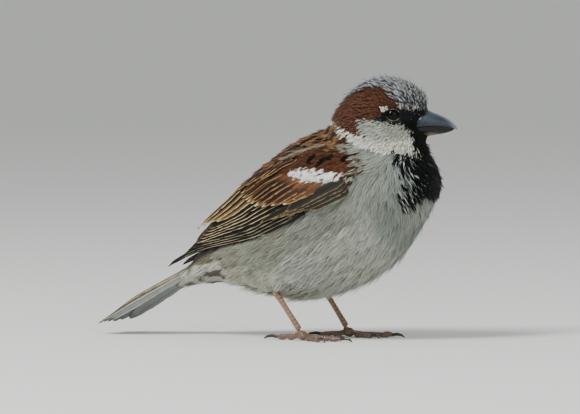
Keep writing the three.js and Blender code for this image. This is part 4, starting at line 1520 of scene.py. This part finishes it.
@dataclass(frozen=True)
class Row:
    """A row of like feathers, from the first to the last, each laid from root to tip over a form."""

    count: int
    roots: Line
    tips: Line
    outer: tuple[float, float]
    inner: tuple[float, float]
    root_above: tuple[float, float]
    tip_above: tuple[float, float]
    style: VaneStyle
    middles: Line | None = None
    wobble: float = 0.25
    core: tuple[float, ...] = (1.0, 1.0)

    @staticmethod
    def pick(line: Line | tuple[float, ...], share: float) -> np.ndarray:
        """Reads a line of spots or numbers at a share of its run."""
        at = share * (len(line) - 1)
        low = min(int(at), len(line) - 2)
        first, second = np.array(line[low]), np.array(line[low + 1])
        return first + (second - first) * (at - low)


@dataclass
class Vanes:
    """Lays rows of vanes over a form and collects them in one mesh."""

    form: Form
    hand: float
    mesh: FeatherMesh
    rng: np.random.Generator
    cell: int = 0
    cells: int = 8
    rows: int = 30
    thick: float = 0.1
    columns: tuple[float, ...] = (
        -1.0, -0.93, -0.85, -0.6, -0.35, -0.15, -0.05, 0.05, 0.2, 0.45, 0.62, 0.74, 0.88, 1.0
    )

    def lay_row(self, row: Row) -> None:
        """Lays each feather of a row."""
        for number in range(row.count):
            self.lay(row, number / max(row.count - 1, 1))

    def lay(self, row: Row, share: float) -> None:
        """Lays one feather.

        Args:
            row: Its row.
            share: Its place in the row, from 0 to 1.
        """
        ends = (row.roots, row.tips)
        root, tip = (row.pick(line, share) + self.rng.normal(0.0, row.wobble, 2) for line in ends)
        middle = row.pick(row.middles, share) if row.middles else (root + tip) / 2
        bend = 2.0 * middle - 0.5 * (root + tip)
        run = 1.0 - np.linspace(1.0, 0.0, self.rows) ** 1.3
        line = np.outer((1 - run) ** 2, root) + np.outer(2 * run * (1 - run), bend) + np.outer(run**2, tip)
        p, q = line.T
        step_p, step_q = self.form.pace(p, q, 1.0, 0.0), self.form.pace(p, q, 0.0, 1.0)
        way = unit(np.stack([np.gradient(p) * step_p, np.gradient(q) * step_q], axis=1))
        side = np.stack([-way[:, 1], way[:, 0]], axis=1)
        side *= np.where(side[:, 1:2] < 0, -1.0, 1.0)
        lengths = np.hypot(np.diff(p) * step_p[1:], np.diff(q) * step_q[1:])
        length = lengths.sum()
        travel = np.concatenate([[0.0], np.cumsum(lengths)]) / length
        across = np.array(self.columns)
        web = np.where(across > 0, row.pick(row.outer, share), row.pick(row.inner, share))
        offset = across[None, :] * web[None, :] * self.outline(row.style, travel)[:, None]
        notch = 0.09 * np.abs(self.rng.normal(0.0, 1.0, offset.shape)) * (np.abs(across) > 0.86)
        offset = offset * (1.0 - notch)
        ragged = self.rng.normal(0.0, 0.3, len(across)) * smooth(0.8, 1.0, travel)[:, None]
        ragged = ragged / np.maximum(step_p, 0.2)[:, None]
        grid_p = p[:, None] + offset * (side[:, 0] / step_p)[:, None] + ragged
        grid_q = q[:, None] + offset * (side[:, 1] / step_q)[:, None]
        low, high = row.pick(row.root_above, share), row.pick(row.tip_above, share)
        above = low + (high - low) * smooth(0.0, 0.6, travel)[:, None]
        above = above - row.style.camber * across**2 + row.style.tilt * across
        top, under = (self.form.place(grid_p, grid_q, above - deep, self.hand) for deep in (0.0, self.thick))
        out = unit(np.cross(np.gradient(top, axis=1), np.gradient(top, axis=0))) * self.hand
        colours = self.colours(row.style, travel, across, row.pick(row.core, share))
        below = mix(colours, linear(row.style.under), np.full(colours.shape[:2], 0.55))
        v, u = np.meshgrid(travel, across, indexing="ij")
        vane = np.stack([u * web, v * length], axis=-1)
        cell = np.array([self.cell % self.cells, self.cell // self.cells])
        patch = (cell + 0.06 + 0.88 * np.stack([(u + 1) / 2, v], axis=-1)) / self.cells
        self.cell += 1
        pairs = ((top, under), (out, -out), (colours, below), (vane, vane), (patch, patch))
        self.mesh.add(self.faces(top.shape), *(np.stack(pair) for pair in pairs))

    @staticmethod
    def outline(style: VaneStyle, travel: np.ndarray) -> np.ndarray:
        """Gives the vane's width at each share of its length."""
        close = np.clip((travel - style.close) / (1.0 - style.close), 0.0, 1.0)
        return smooth(-0.12, 0.14, travel) * np.maximum(1.0 - close**style.power, 0.0) ** 0.5 + 0.01

    def faces(self, shape: tuple[int, ...]) -> np.ndarray:
        """Gives the triangles of a feather's upper face, lower face and rim.

        Args:
            shape: The rows and columns of either face.

        Returns:
            Triangles, counted from the first vertex of the upper face.
        """
        count = shape[0] * shape[1]
        grid = np.arange(count).reshape(shape[:2])
        quads = np.stack([grid[:-1, :-1], grid[:-1, 1:], grid[1:, 1:], grid[1:, :-1]], axis=-1).reshape(-1, 4)
        faces = np.concatenate([quads[:, [0, 1, 2]], quads[:, [0, 2, 3]]])
        rim = np.concatenate([grid[0, :-1], grid[:-1, -1], grid[-1, :0:-1], grid[:0:-1, 0]])
        onward = np.roll(rim, -1)
        first = np.stack([rim, rim + count, onward + count], 1)
        second = np.stack([rim, onward + count, onward], 1)
        every = np.concatenate([faces, faces[:, ::-1] + count, first, second])
        return every[:, ::-1] if self.hand < 0 else every

    def colours(
        self, style: VaneStyle, travel: np.ndarray, across: np.ndarray, strength: float
    ) -> np.ndarray:
        """Colours each place of a vane.

        Args:
            style: Its colours.
            travel: Shares of its length.
            across: Places across it.
            strength: How strongly its dark core shows.

        Returns:
            Colours in linear light.
        """
        v, u = np.meshgrid(travel, across, indexing="ij")
        core = np.exp(-(((u - style.core_at) / style.core_width) ** 6)) * smooth(0.98, 0.85, v)
        core = core * smooth(style.core_from, style.core_from + 0.25, v)
        out = mix(linear(style.ground), linear(style.core), 0.95 * strength * core)
        margin = smooth(style.margin_from - 0.06, style.margin_from + 0.06, u)
        inner = smooth(style.inner_from - 0.06, style.inner_from + 0.05, -u) * 0.8
        out = mix(out, linear(style.margin), np.maximum(margin, inner))
        out = mix(out, linear(style.tip), smooth(style.tip_from - 0.05, style.tip_from + 0.03, v))
        return np.clip(out * self.rng.normal(1.0, style.contrast), 0.0, 1.0)


GREATER_STYLE = VaneStyle(
    "#68442a", "#070605", "#ad8a58", "#cbb489", "#6b5a4a", core_at=0.2, core_width=0.5, margin_from=0.88,
    inner_from=0.95, tip_from=0.965, close=0.7, power=1.6, core_from=0.22, contrast=0.2,
)
SCAPULAR_STYLE = VaneStyle(
    "#5e3c24", "#0e0c0b", "#9c7a50", "#a98b62", "#5b4a3a", core_at=0.1, core_width=0.62, margin_from=0.8,
    inner_from=0.8, tip_from=0.97, close=0.62, power=1.6, tilt=0.15, contrast=0.12,
)
ALULA_STYLE = VaneStyle(
    "#2a2721", "#1c1a17", "#8a7757", "#7a6a50", "#4b4844", margin_from=0.9, inner_from=0.97,
    tip_from=0.98, close=0.6, contrast=0.08,
)
PRIMARY_COVERT_STYLE = VaneStyle(
    "#262019", "#171411", "#8d7852", "#7f6a49", "#4b4844", margin_from=0.84, tip_from=0.97, close=0.6,
    power=1.5,
)
TERTIAL_STYLE = VaneStyle(
    "#765c3b", "#0f0d0b", "#c4aa78", "#d2bd90", "#6b6257", core_at=-0.2, core_width=0.55, margin_from=0.8,
    inner_from=0.92, tip_from=0.965, close=0.68, power=1.6, contrast=0.1,
)
SECONDARY_STYLE = VaneStyle(
    "#17120e", "#0a0908", "#cbb88d", "#4a3e2e", "#6b6257", core_at=-0.3, core_width=0.8, margin_from=0.88,
    inner_from=0.97, tip_from=0.98, close=0.84, power=2.2, contrast=0.08,
)
PRIMARY_STYLE = VaneStyle(
    "#12100e", "#0c0b0a", "#aca083", "#231f1c", "#4b4844", core_at=-0.2, core_width=0.5, margin_from=0.9,
    inner_from=1.1, close=0.7, power=1.7,
)
OUTER_PRIMARY_STYLE = VaneStyle(
    "#141210", "#0c0b0a", "#1b1815", "#231f1c", "#4b4844", close=0.7, power=1.7
)
TAIL_STYLE = VaneStyle(
    "#6b6554", "#2d2921", "#c0b69e", "#4a463c", "#7b8181", core_at=0.35, core_width=0.2, margin_from=0.86,
    tip_from=0.97, close=0.86, power=2.2, camber=0.12, tilt=-0.1, contrast=0.1,
)
OUTER_TAIL_STYLE = VaneStyle(
    "#7b8180", "#3b3a34", "#9b9d90", "#46443d", "#8b8f89", core_at=0.03, core_width=0.1, margin_from=0.84,
    inner_from=0.86, close=0.8, power=1.7, camber=0.12, tilt=-0.1, contrast=0.16,
)

FLIGHT_ROWS = (
    # outer primaries
    Row(
        2, ((48, 87), (48, 88)), ((-13.5, 60), (-14.5, 61)), (1.1, 1.0), (3.0, 3.0),
        (-0.8, -0.9), (-0.8, -0.9), OUTER_PRIMARY_STYLE, middles=((18, 79), (18, 80)), wobble=0.1,
    ),
    # primaries
    Row(
        4, ((44, 76), (48, 85)), ((0, 56), (-11.5, 60)), (1.5, 1.2), (4.2, 3.2), (-0.7, -0.8),
        (-0.5, -0.7), PRIMARY_STYLE, middles=((16, 67.5), (18, 77.5)), wobble=0.15,
    ),
    # secondaries
    Row(
        5, ((44, 54), (46, 74)), ((7.5, 46), (0.5, 54.5)), (1.6, 1.5), (4.8, 4.4), (-0.6, -0.7),
        (-0.3, -0.45), SECONDARY_STYLE, middles=((22, 52), (20, 64.5)), wobble=0.15,
    ),
    # tertials
    Row(
        4, ((40, 48), (38, 36), (36, 20)), ((12, 45), (7, 36), (1.5, 27)), (2.2, 2.4), (4.2, 4.6),
        (-1.0, -0.8), (-0.3, 0.05), TERTIAL_STYLE,
    ),
)
COVERT_ROWS = (
    # primary coverts
    Row(
        5, ((50, 79), (56, 86)), ((31, 75.5), (36, 79), (42, 82)), (1.0, 1.0), (1.5, 1.4),
        (-0.5, -0.6), (-0.1, -0.2), PRIMARY_COVERT_STYLE,
    ),
    # alula
    Row(
        4, ((66, 89), (66, 79)), ((51, 88), (42, 79)), (1.5, 1.7), (1.8, 2.1), (-0.7, -0.5),
        (0.0, 0.2), ALULA_STYLE,
    ),
    # greater coverts
    Row(
        10, ((63, 76), (60, 69), (56, 59), (52, 48), (49, 36)),
        ((46, 74), (40, 70.5), (31.8, 61.4), (27.9, 50), (25.3, 34)), (1.6, 1.9), (2.1, 2.4),
        (-2.0, -1.6), (-0.05, 0.2), GREATER_STYLE, wobble=0.6, core=(0.3, 1.0, 1.0),
    ),
    # scapulars
    Row(
        6, ((51, 38), (46, 32), (40, 26)), ((38, 40), (31, 33), (18, 23)), (1.2, 1.4), (1.4, 1.6),
        (-0.3, -0.3), (0.55, 0.4), SCAPULAR_STYLE, wobble=0.5,
    ),
)
TAIL_ROWS = (
    # outer tail feathers
    Row(
        3, ((-1, 4.2), (-1, 3.0)), ((-43.5, 8.6), (-48.0, 6.2)), (1.3, 1.5), (3.6, 3.8),
        (-1.2, -0.7), (-1.4, -0.7), OUTER_TAIL_STYLE, wobble=0.12,
    ),
    # tail feathers
    Row(
        4, ((-1, 2.6), (-1, 0.5)), ((-48.3, 5.6), (-44.5, 1.3)), (1.6, 2.6), (3.8, 3.4),
        (-0.55, -0.15), (-0.55, -0.15), TAIL_STYLE, wobble=0.12,
    ),
)


@dataclass
class Wing:
    """One folded wing: flight feathers fanned under each other, with the coverts over their roots."""

    side: str
    form: WingForm

    def build(self) -> None:
        """Lays the flight feathers and the coverts as two pieces."""
        for name, rows, slot, nodes in (
            ("flight_feathers", FLIGHT_ROWS, "feather_brown", ("secondaries", "primaries")),
            ("covert_feathers", COVERT_ROWS, "feather_chestnut", ()),
        ):
            rng = np.random.default_rng(WING_SEEDS[self.side])
            vanes = Vanes(self.form, HANDS[self.side], FeatherMesh(), rng)
            for row in rows:
                vanes.lay_row(row)
            obj = vanes.mesh.make(f"wing_{self.side}_{name}", WEB)
            place_piece(obj, slot, *(f"wing_{self.side}_{node}" for node in nodes))


@dataclass
class Tail:
    """The tail feathers folded under each other, the middle pair on top."""

    def build(self) -> None:
        """Lays the feathers of both hands as one piece."""
        form = TailForm()
        form.measure()
        mesh, used = FeatherMesh(), 0
        for side, hand in HANDS.items():
            vanes = Vanes(form, hand, mesh, np.random.default_rng(TAIL_SEEDS[side]), cell=used)
            for row in TAIL_ROWS:
                vanes.lay_row(row)
            used = vanes.cell
        place_piece(mesh.make("tail_feathers", WEB), "feather_tail", "tail")


# ---------------------------------------------------------------- bill, eyes and legs


@dataclass
class Bill:
    """The stout cone of the bill, its two halves meeting along the gape."""

    swell: float = 0.1
    voxel: float = 0.2
    gape: float = 73.9
    base: float = 13.0
    dark: str = "#343c44"
    # Colour of the painted shade on the lower part of the upper half.
    under: str = "#14181c"
    ridge_highlight: str = "#858994"
    # Colour of the painted highlight along the culmen.
    patch: str = "#94836a"
    nostril_shade: str = "#121216"
    # Colour of the painted shade at the base of the bill.
    rim: str = "#0b0c0e"
    nostril: Spot = (13.7, 2.1, 78.7)
    nostril_size: float = 0.55
    nostril_depth: float = 0.35

    def shape(self, places: np.ndarray, top: bool) -> np.ndarray:
        """Draws the culmen straighter, the lower half slimmer and the cutting edges over each other."""
        head = HEAD.local(places)
        reach = head[:, 0]
        gape = self.gape + 0.65 * np.sin(math.pi * np.clip((reach - 9.0) / 15.5, 0.0, 1.0))
        height = head[:, 2] - gape
        middle = np.sin(math.pi * np.clip((reach - self.base) / 10.5, 0.0, 1.0))
        deep = 1.0 - 0.11 * middle + 0.1 * smooth(17.5, 12.5, reach) if top else 1.0 - 0.12 * middle
        head[:, 1] *= 1.02 if top else 0.96
        head[:, 2] = gape + height * deep - (0.4 if top else -0.3) * np.exp(-((height / 0.8) ** 2))
        head[:, 0] = self.base + (reach - self.base) * 0.965
        return HEAD.world(head)

    def near_nostril(self, head: np.ndarray) -> np.ndarray:
        """Gives how near places of the head are to either nostril, 1 in its middle."""
        near = np.zeros(len(head))
        for hand in HANDS.values():
            out = head - np.array(self.nostril) * np.array([1.0, hand, 1.0])
            near += np.exp(-np.sum((out / np.array([1.5, 1.0, 1.0])) ** 2, axis=1) / self.nostril_size**2)
        return near

    def shade(self, places: np.ndarray, near: np.ndarray, top: bool) -> np.ndarray:
        """Colours one half of the bill, with a painted highlight along the culmen and painted shade.

        Args:
            places: Its vertices, before the nostrils are pressed in.
            near: How near each is to a nostril.
            top: Whether it is the upper half.

        Returns:
            Colours in linear light.
        """
        reach, side, height = HEAD.local(places).T
        shade = linear(self.dark) * (1.0 + 0.12 * mottle(places, 5.0, 61))[:, None]
        if top:
            # Painted highlight: a pale line along the culmen where the light catches the ridge.
            culmen_highlight = smooth(75.5, 77.5, height + 0.4 * (reach - 14))
            culmen_highlight = smooth(1.6, 0.2, np.abs(side)) * smooth(11.0, 16.0, reach) * culmen_highlight
            # Painted shade: the upper half darkens downwards towards the gape, away from the light.
            shade = mix(shade, linear(self.under), 0.6 * smooth(77.2, 74.6, height + 0.1 * (reach - 14)))
            shade = mix(shade, linear(self.ridge_highlight), 0.75 * culmen_highlight)
            # Painted shade in the pressed-in nostrils.
            shade = mix(shade, linear(self.nostril_shade), np.clip(1.2 * near, 0, 1))
        else:
            middle = np.exp(-(((reach - 16.3) / 2.3) ** 2 + ((height - 71.6) / 0.75) ** 2))
            # Painted shade: the lower half is darkened to near black, as under the overhanging upper half; the
            # horn patch is its own colour.
            shade = mix(shade * 0.12, linear(self.patch), 0.7 * middle)
        # Painted shade where the feathers overlap the base of the bill.
        base_shade = smooth(1.7, 0.1, reach - along_line(MARKS.bill_line, height))
        return mix(shade, linear(self.rim), 0.85 * base_shade)

    def build(self) -> None:
        """Makes and colours both halves."""
        for half, top in (("upper", True), ("lower", False)):
            obj = rounded(f"bill_{half}_horn", (f"bill_{half}",), self.swell, self.voxel, 26)
            move_vertices(obj, self.shape(vertices_of(obj), top))
            places = vertices_of(obj)
            near = self.near_nostril(HEAD.local(places))
            move_vertices(obj, places - normals_of(obj) * (self.nostril_depth * near)[:, None])
            dress(obj, self.shade(places, near, top), HORN, "horn_bill", f"bill_{half}")


@dataclass
class Eyes:
    """Round dark eyes set in bare, wrinkled lids."""

    pupil: float = 1.15
    pupil_colour: str = "#040404"
    iris: str = "#080403"
    white: str = "#080607"
    lid: str = "#101113"
    lid_rim: str = "#85837b"
    lid_middle: float = EYE.opening + 0.28
    lid_thick: float = 0.3
    narrow: float = 0.13

    def ball(self, side: str) -> None:
        """Makes an eyeball, darkest in its pupil."""
        hand = HANDS[side]
        turn = Vector(EYE.gaze(hand)).to_track_quat("Z", "Y").to_euler()
        obj = add_shape(
            f"eyeball_{side}", bpy.ops.mesh.primitive_uv_sphere_add, segments=64, ring_count=40,
            radius=EYE.radius * MM, location=tuple(EYE.middle(hand) * MM), rotation=turn,
        )
        off = EYE.off(vertices_of(obj), hand)[2]
        iris = smooth(self.pupil - 0.1, self.pupil + 0.15, off)
        shade = mix(linear(self.pupil_colour), linear(self.iris), iris)
        shade = mix(shade, linear(self.white), smooth(EYE.opening - 0.3, EYE.opening, off))
        dress(obj, shade, CORNEA, "eye", f"eye_{side}")

    def lids(self, side: str) -> None:
        """Makes the rolled rim of bare skin round an eye, a little longer than high, with fine folds."""
        hand = HANDS[side]
        gaze, middle = EYE.gaze(hand), EYE.middle(hand)
        depth = math.sqrt(EYE.radius**2 - EYE.opening**2)
        obj = add_shape(
            f"eyelid_{side}", bpy.ops.mesh.primitive_torus_add, major_segments=96, minor_segments=28,
            major_radius=self.lid_middle * MM, minor_radius=self.lid_thick * MM,
            location=tuple((middle + gaze * (depth - 0.02)) * MM),
            rotation=Vector(gaze).to_track_quat("Z", "Y").to_euler(),
        )
        ahead, flat, off = EYE.off(vertices_of(obj), hand)
        upright = flat[:, 2] / np.maximum(off, 1e-6)
        squash = 1.0 - self.narrow * upright**2
        raised = np.sqrt(np.maximum(EYE.radius**2 - (self.lid_middle * squash) ** 2, 0.0)) - depth
        level = unit(np.cross(gaze, np.array([0.0, 0.0, 1.0])))
        spin = np.arctan2(upright, flat @ level / np.maximum(off, 1e-6))
        folds = 0.05 * np.sin(spin * 31.0) + 0.03 * np.sin(spin * 53.0 + 1.0)
        wide = squash * (1.0 + 0.16 * smooth(EYE.opening + 0.1, EYE.opening + 0.6, off))
        ahead = ahead + raised + folds * smooth(2.2, 2.6, off) - 0.25 * smooth(2.3, 2.7, off)
        move_vertices(obj, middle + flat * wide[:, None] + ahead[:, None] * gaze)
        broken = 0.35 + 0.65 * smooth(-0.4, 0.5, np.sin(spin * 5.0 + 0.7) + 0.6 * np.sin(spin * 13.0))
        inner, outer = (np.exp(-(((off - EYE.opening - ring) / 0.1) ** 2)) for ring in (0.14, 0.52))
        shade = mix(linear(self.lid), linear(self.lid_rim), broken * (0.9 * inner + 0.8 * outer))
        dress(obj, shade, LID_SKIN, "leg_skin")

    def build(self) -> None:
        """Makes both eyes and their lids."""
        for side in HANDS:
            self.ball(side)
            self.lids(side)


@dataclass
class Leg:
    """A bare shank and foot under overlapping scutes, with horn claws."""

    side: str
    voxel: float = 0.26
    swell: float = 0.2
    scute: float = 1.5
    toe_scute: float = 1.15
    pad: float = 3.4
    shank_colour: str = "#8a6a52"
    toe_colour: str = "#6e5446"
    groove: str = "#33241e"
    claw: str = "#2b211c"
    claw_swell: float = 0.15
    claw_voxel: float = 0.14

    def axis_of(self, node_name: str) -> tuple[np.ndarray, np.ndarray, float]:
        """Finds the middle, the long direction and half the length of a CAD node."""
        co = vertices_of(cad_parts[node_name])
        middle = (co.min(axis=0) + co.max(axis=0)) / 2
        _, _, rows = np.linalg.svd(co - co.mean(axis=0), full_matrices=False)
        way = rows[0] * (1.0 if rows[0][0] + 0.1 * rows[0][2] > 0 else -1.0)
        return middle, way, np.abs((co - middle) @ way).max()

    def runs(self, places: np.ndarray, nodes: Iterable[str]) -> tuple[np.ndarray, np.ndarray, np.ndarray]:
        """Finds which shank or toe each place belongs to, and tapers their ends.

        Args:
            places: The leg's vertices.
            nodes: The CAD nodes of the shank and toes.

        Returns:
            How far along its node each place lies, whether that is the shank, and how it moves.
        """
        best = np.full(len(places), np.inf)
        run, shank, moves = np.zeros(len(places)), np.zeros(len(places)), np.zeros(places.shape)
        for node_name in nodes:
            middle, way, half = self.axis_of(node_name)
            along, aside, off = part(places - middle, way)
            off = off + np.maximum(np.abs(along) - half, 0.0)
            closer = off < best
            if node_name.startswith("tarsus"):
                end = smooth(half - 1.4, half + 0.2, np.abs(along))[:, None]
                move = -0.08 * end * aside
            else:
                tip = -1.0 if node_name.endswith("hind") else 1.0
                end = smooth(half - 1.4, half + 0.2, along * tip)[:, None]
                move = -0.3 * end * aside + 0.45 * tip * end * way
            best[closer], run[closer], moves[closer] = off[closer], along[closer], move[closer]
            shank[closer] = float(node_name.startswith("tarsus"))
        return run, shank, moves

    def build(self) -> None:
        """Makes the leg and its claws."""
        runs = [f"tarsus_{self.side}"] + [f"toe_{self.side}_{toe}" for toe in TOES]
        nodes = (runs[0], f"foot_{self.side}", *runs[1:])
        obj = rounded(f"leg_{self.side}_skin", nodes, self.swell, self.voxel, 6)
        places, normals = vertices_of(obj), normals_of(obj)
        run, shank, moves = self.runs(places, runs)
        phase = (run / np.where(shank > 0, self.scute, self.toe_scute)) % 1.0
        upper = smooth(-0.3, 0.5, np.where(shank > 0, normals[:, 0], normals[:, 2]))
        groove = (1.0 - smooth(0.0, 0.3, phase) * smooth(1.0, 0.9, phase)) * (0.35 + 0.65 * upper)
        pads = 0.16 * np.sin(run * TURN / self.pad) * (1.0 - upper) * (1.0 - shank)
        places = places + moves - normals * (self.swell * 0.8 + 0.14 * groove - pads)[:, None]
        places[:, 2] = np.maximum(places[:, 2], SOLE)
        move_vertices(obj, places)
        shade = mix(linear(self.toe_colour), linear(self.shank_colour), shank)
        shade = mix(shade, linear(self.groove), 0.9 * groove)
        dress(obj, shade * (1.0 + 0.12 * mottle(places, 2.5, 71))[:, None], SCUTE, "leg_skin", *nodes)
        self.claws()

    def claws(self) -> None:
        """Rounds the claws from their solids."""
        nodes = [f"claw_{self.side}_{toe}" for toe in TOES]
        obj = rounded(f"claws_{self.side}_horn", nodes, self.claw_swell, self.claw_voxel, 5)
        places = vertices_of(obj)
        places[:, 2] = np.maximum(places[:, 2], SOLE)
        move_vertices(obj, places)
        shade = linear(self.claw) * (1.0 + 0.25 * mottle(places, 1.2, 73))[:, None]
        dress(obj, shade, CLAW_HORN, "horn_claw", *nodes)


# ---------------------------------------------------------------- studio


@dataclass(frozen=True)
class Studio:
    """A pale floor, soft light and a camera at the height of the bird. Places of the lights are in metres."""

    target: Spot = (5.065, 0.0, 45.85)
    azimuth: float = 24.0
    elevation: float = 2.0
    distance: float = 1692.0
    lens: float = 300.0
    sensor: float = 36.0
    lamps: tuple[tuple[str, Spot, float, float], ...] = (
        ("key", (-0.35, -1.0, 1.35), 0.5, 20.0),
        ("glint", (-0.42, -1.3, 1.15), 0.22, 8.0),
        ("fill", (1.2, -0.9, 0.7), 1.2, 7.0),
    )
    sky: str = "#dfe3e2"
    sky_strength: float = 0.75
    floor_size: float = 24.0
    floor_colour: str = "#eeeeeb"

    def camera(self) -> None:
        """Makes the camera, level with the bird and turned a little towards its front."""
        turn, rise = math.radians(self.azimuth), math.radians(self.elevation)
        back = Vector((math.sin(turn) * math.cos(rise), -math.cos(turn) * math.cos(rise), math.sin(rise)))
        data = bpy.data.cameras.new("camera")
        data.lens, data.sensor_width, data.clip_end = self.lens, self.sensor, 50.0
        obj = link("camera", data)
        obj.location = (Vector(self.target) + back * self.distance) * MM
        obj.rotation_euler = back.to_track_quat("Z", "Y").to_euler()
        bpy.context.scene.camera = obj

    def floor(self) -> None:
        """Lays a wide matt floor just under the soles, whose far rim rises like a paper sweep."""
        grid = bpy.ops.mesh.primitive_grid_add
        obj = add_shape("floor", grid, x_subdivisions=96, y_subdivisions=96, size=self.floor_size)
        places = vertices_of(obj)
        away = np.hypot(places[:, 0], places[:, 1])
        places[:, 2] = 3000.0 * np.maximum((away - 5000.0) / 6000.0, 0.0) ** 2
        move_vertices(obj, places)
        smooth_faces(obj)
        material = bpy.data.materials.new("matt_paper_floor")
        material.use_nodes = True
        shader = material.node_tree.nodes["Principled BSDF"]
        shader.inputs["Base Color"].default_value = rgba(self.floor_colour)
        shader.inputs["Roughness"].default_value = 0.9
        obj.data.materials.append(material)

    def lamp(self, name: str, place: Spot, size: float, power: float) -> None:
        """Hangs a square soft light that faces the bird.

        Args:
            name: The light's name.
            place: Where it hangs.
            size: Its side, in metres.
            power: Its power, in watts.
        """
        data = bpy.data.lights.new(name, "AREA")
        data.size = size
        data.energy = power
        obj = link(name, data)
        obj.location = place
        aim = Vector(place) - Vector(self.target) * MM
        obj.rotation_euler = aim.to_track_quat("Z", "Y").to_euler()

    def build(self) -> None:
        """Makes the camera, floor, lights and sky."""
        self.camera()
        self.floor()
        for lamp in self.lamps:
            self.lamp(*lamp)
        world = bpy.data.worlds.new("soft_sky")
        world.use_nodes = True
        background = world.node_tree.nodes["Background"]
        background.inputs["Color"].default_value = rgba(self.sky)
        background.inputs["Strength"].default_value = self.sky_strength
        bpy.context.scene.world = world


def main() -> None:
    """Builds the bird piece by piece, then the studio round it."""
    logging.basicConfig(level=logging.INFO, format="%(message)s")
    Studio().build()
    skin = Skin()
    skin.build()
    Coat(skin).build()
    form = WingForm()
    form.measure()
    for side in HANDS:
        Wing(side, form).build()
    Tail().build()
    Bill().build()
    Eyes().build()
    for side in HANDS:
        Leg(side).build()


if __name__ == "__main__":
    main()
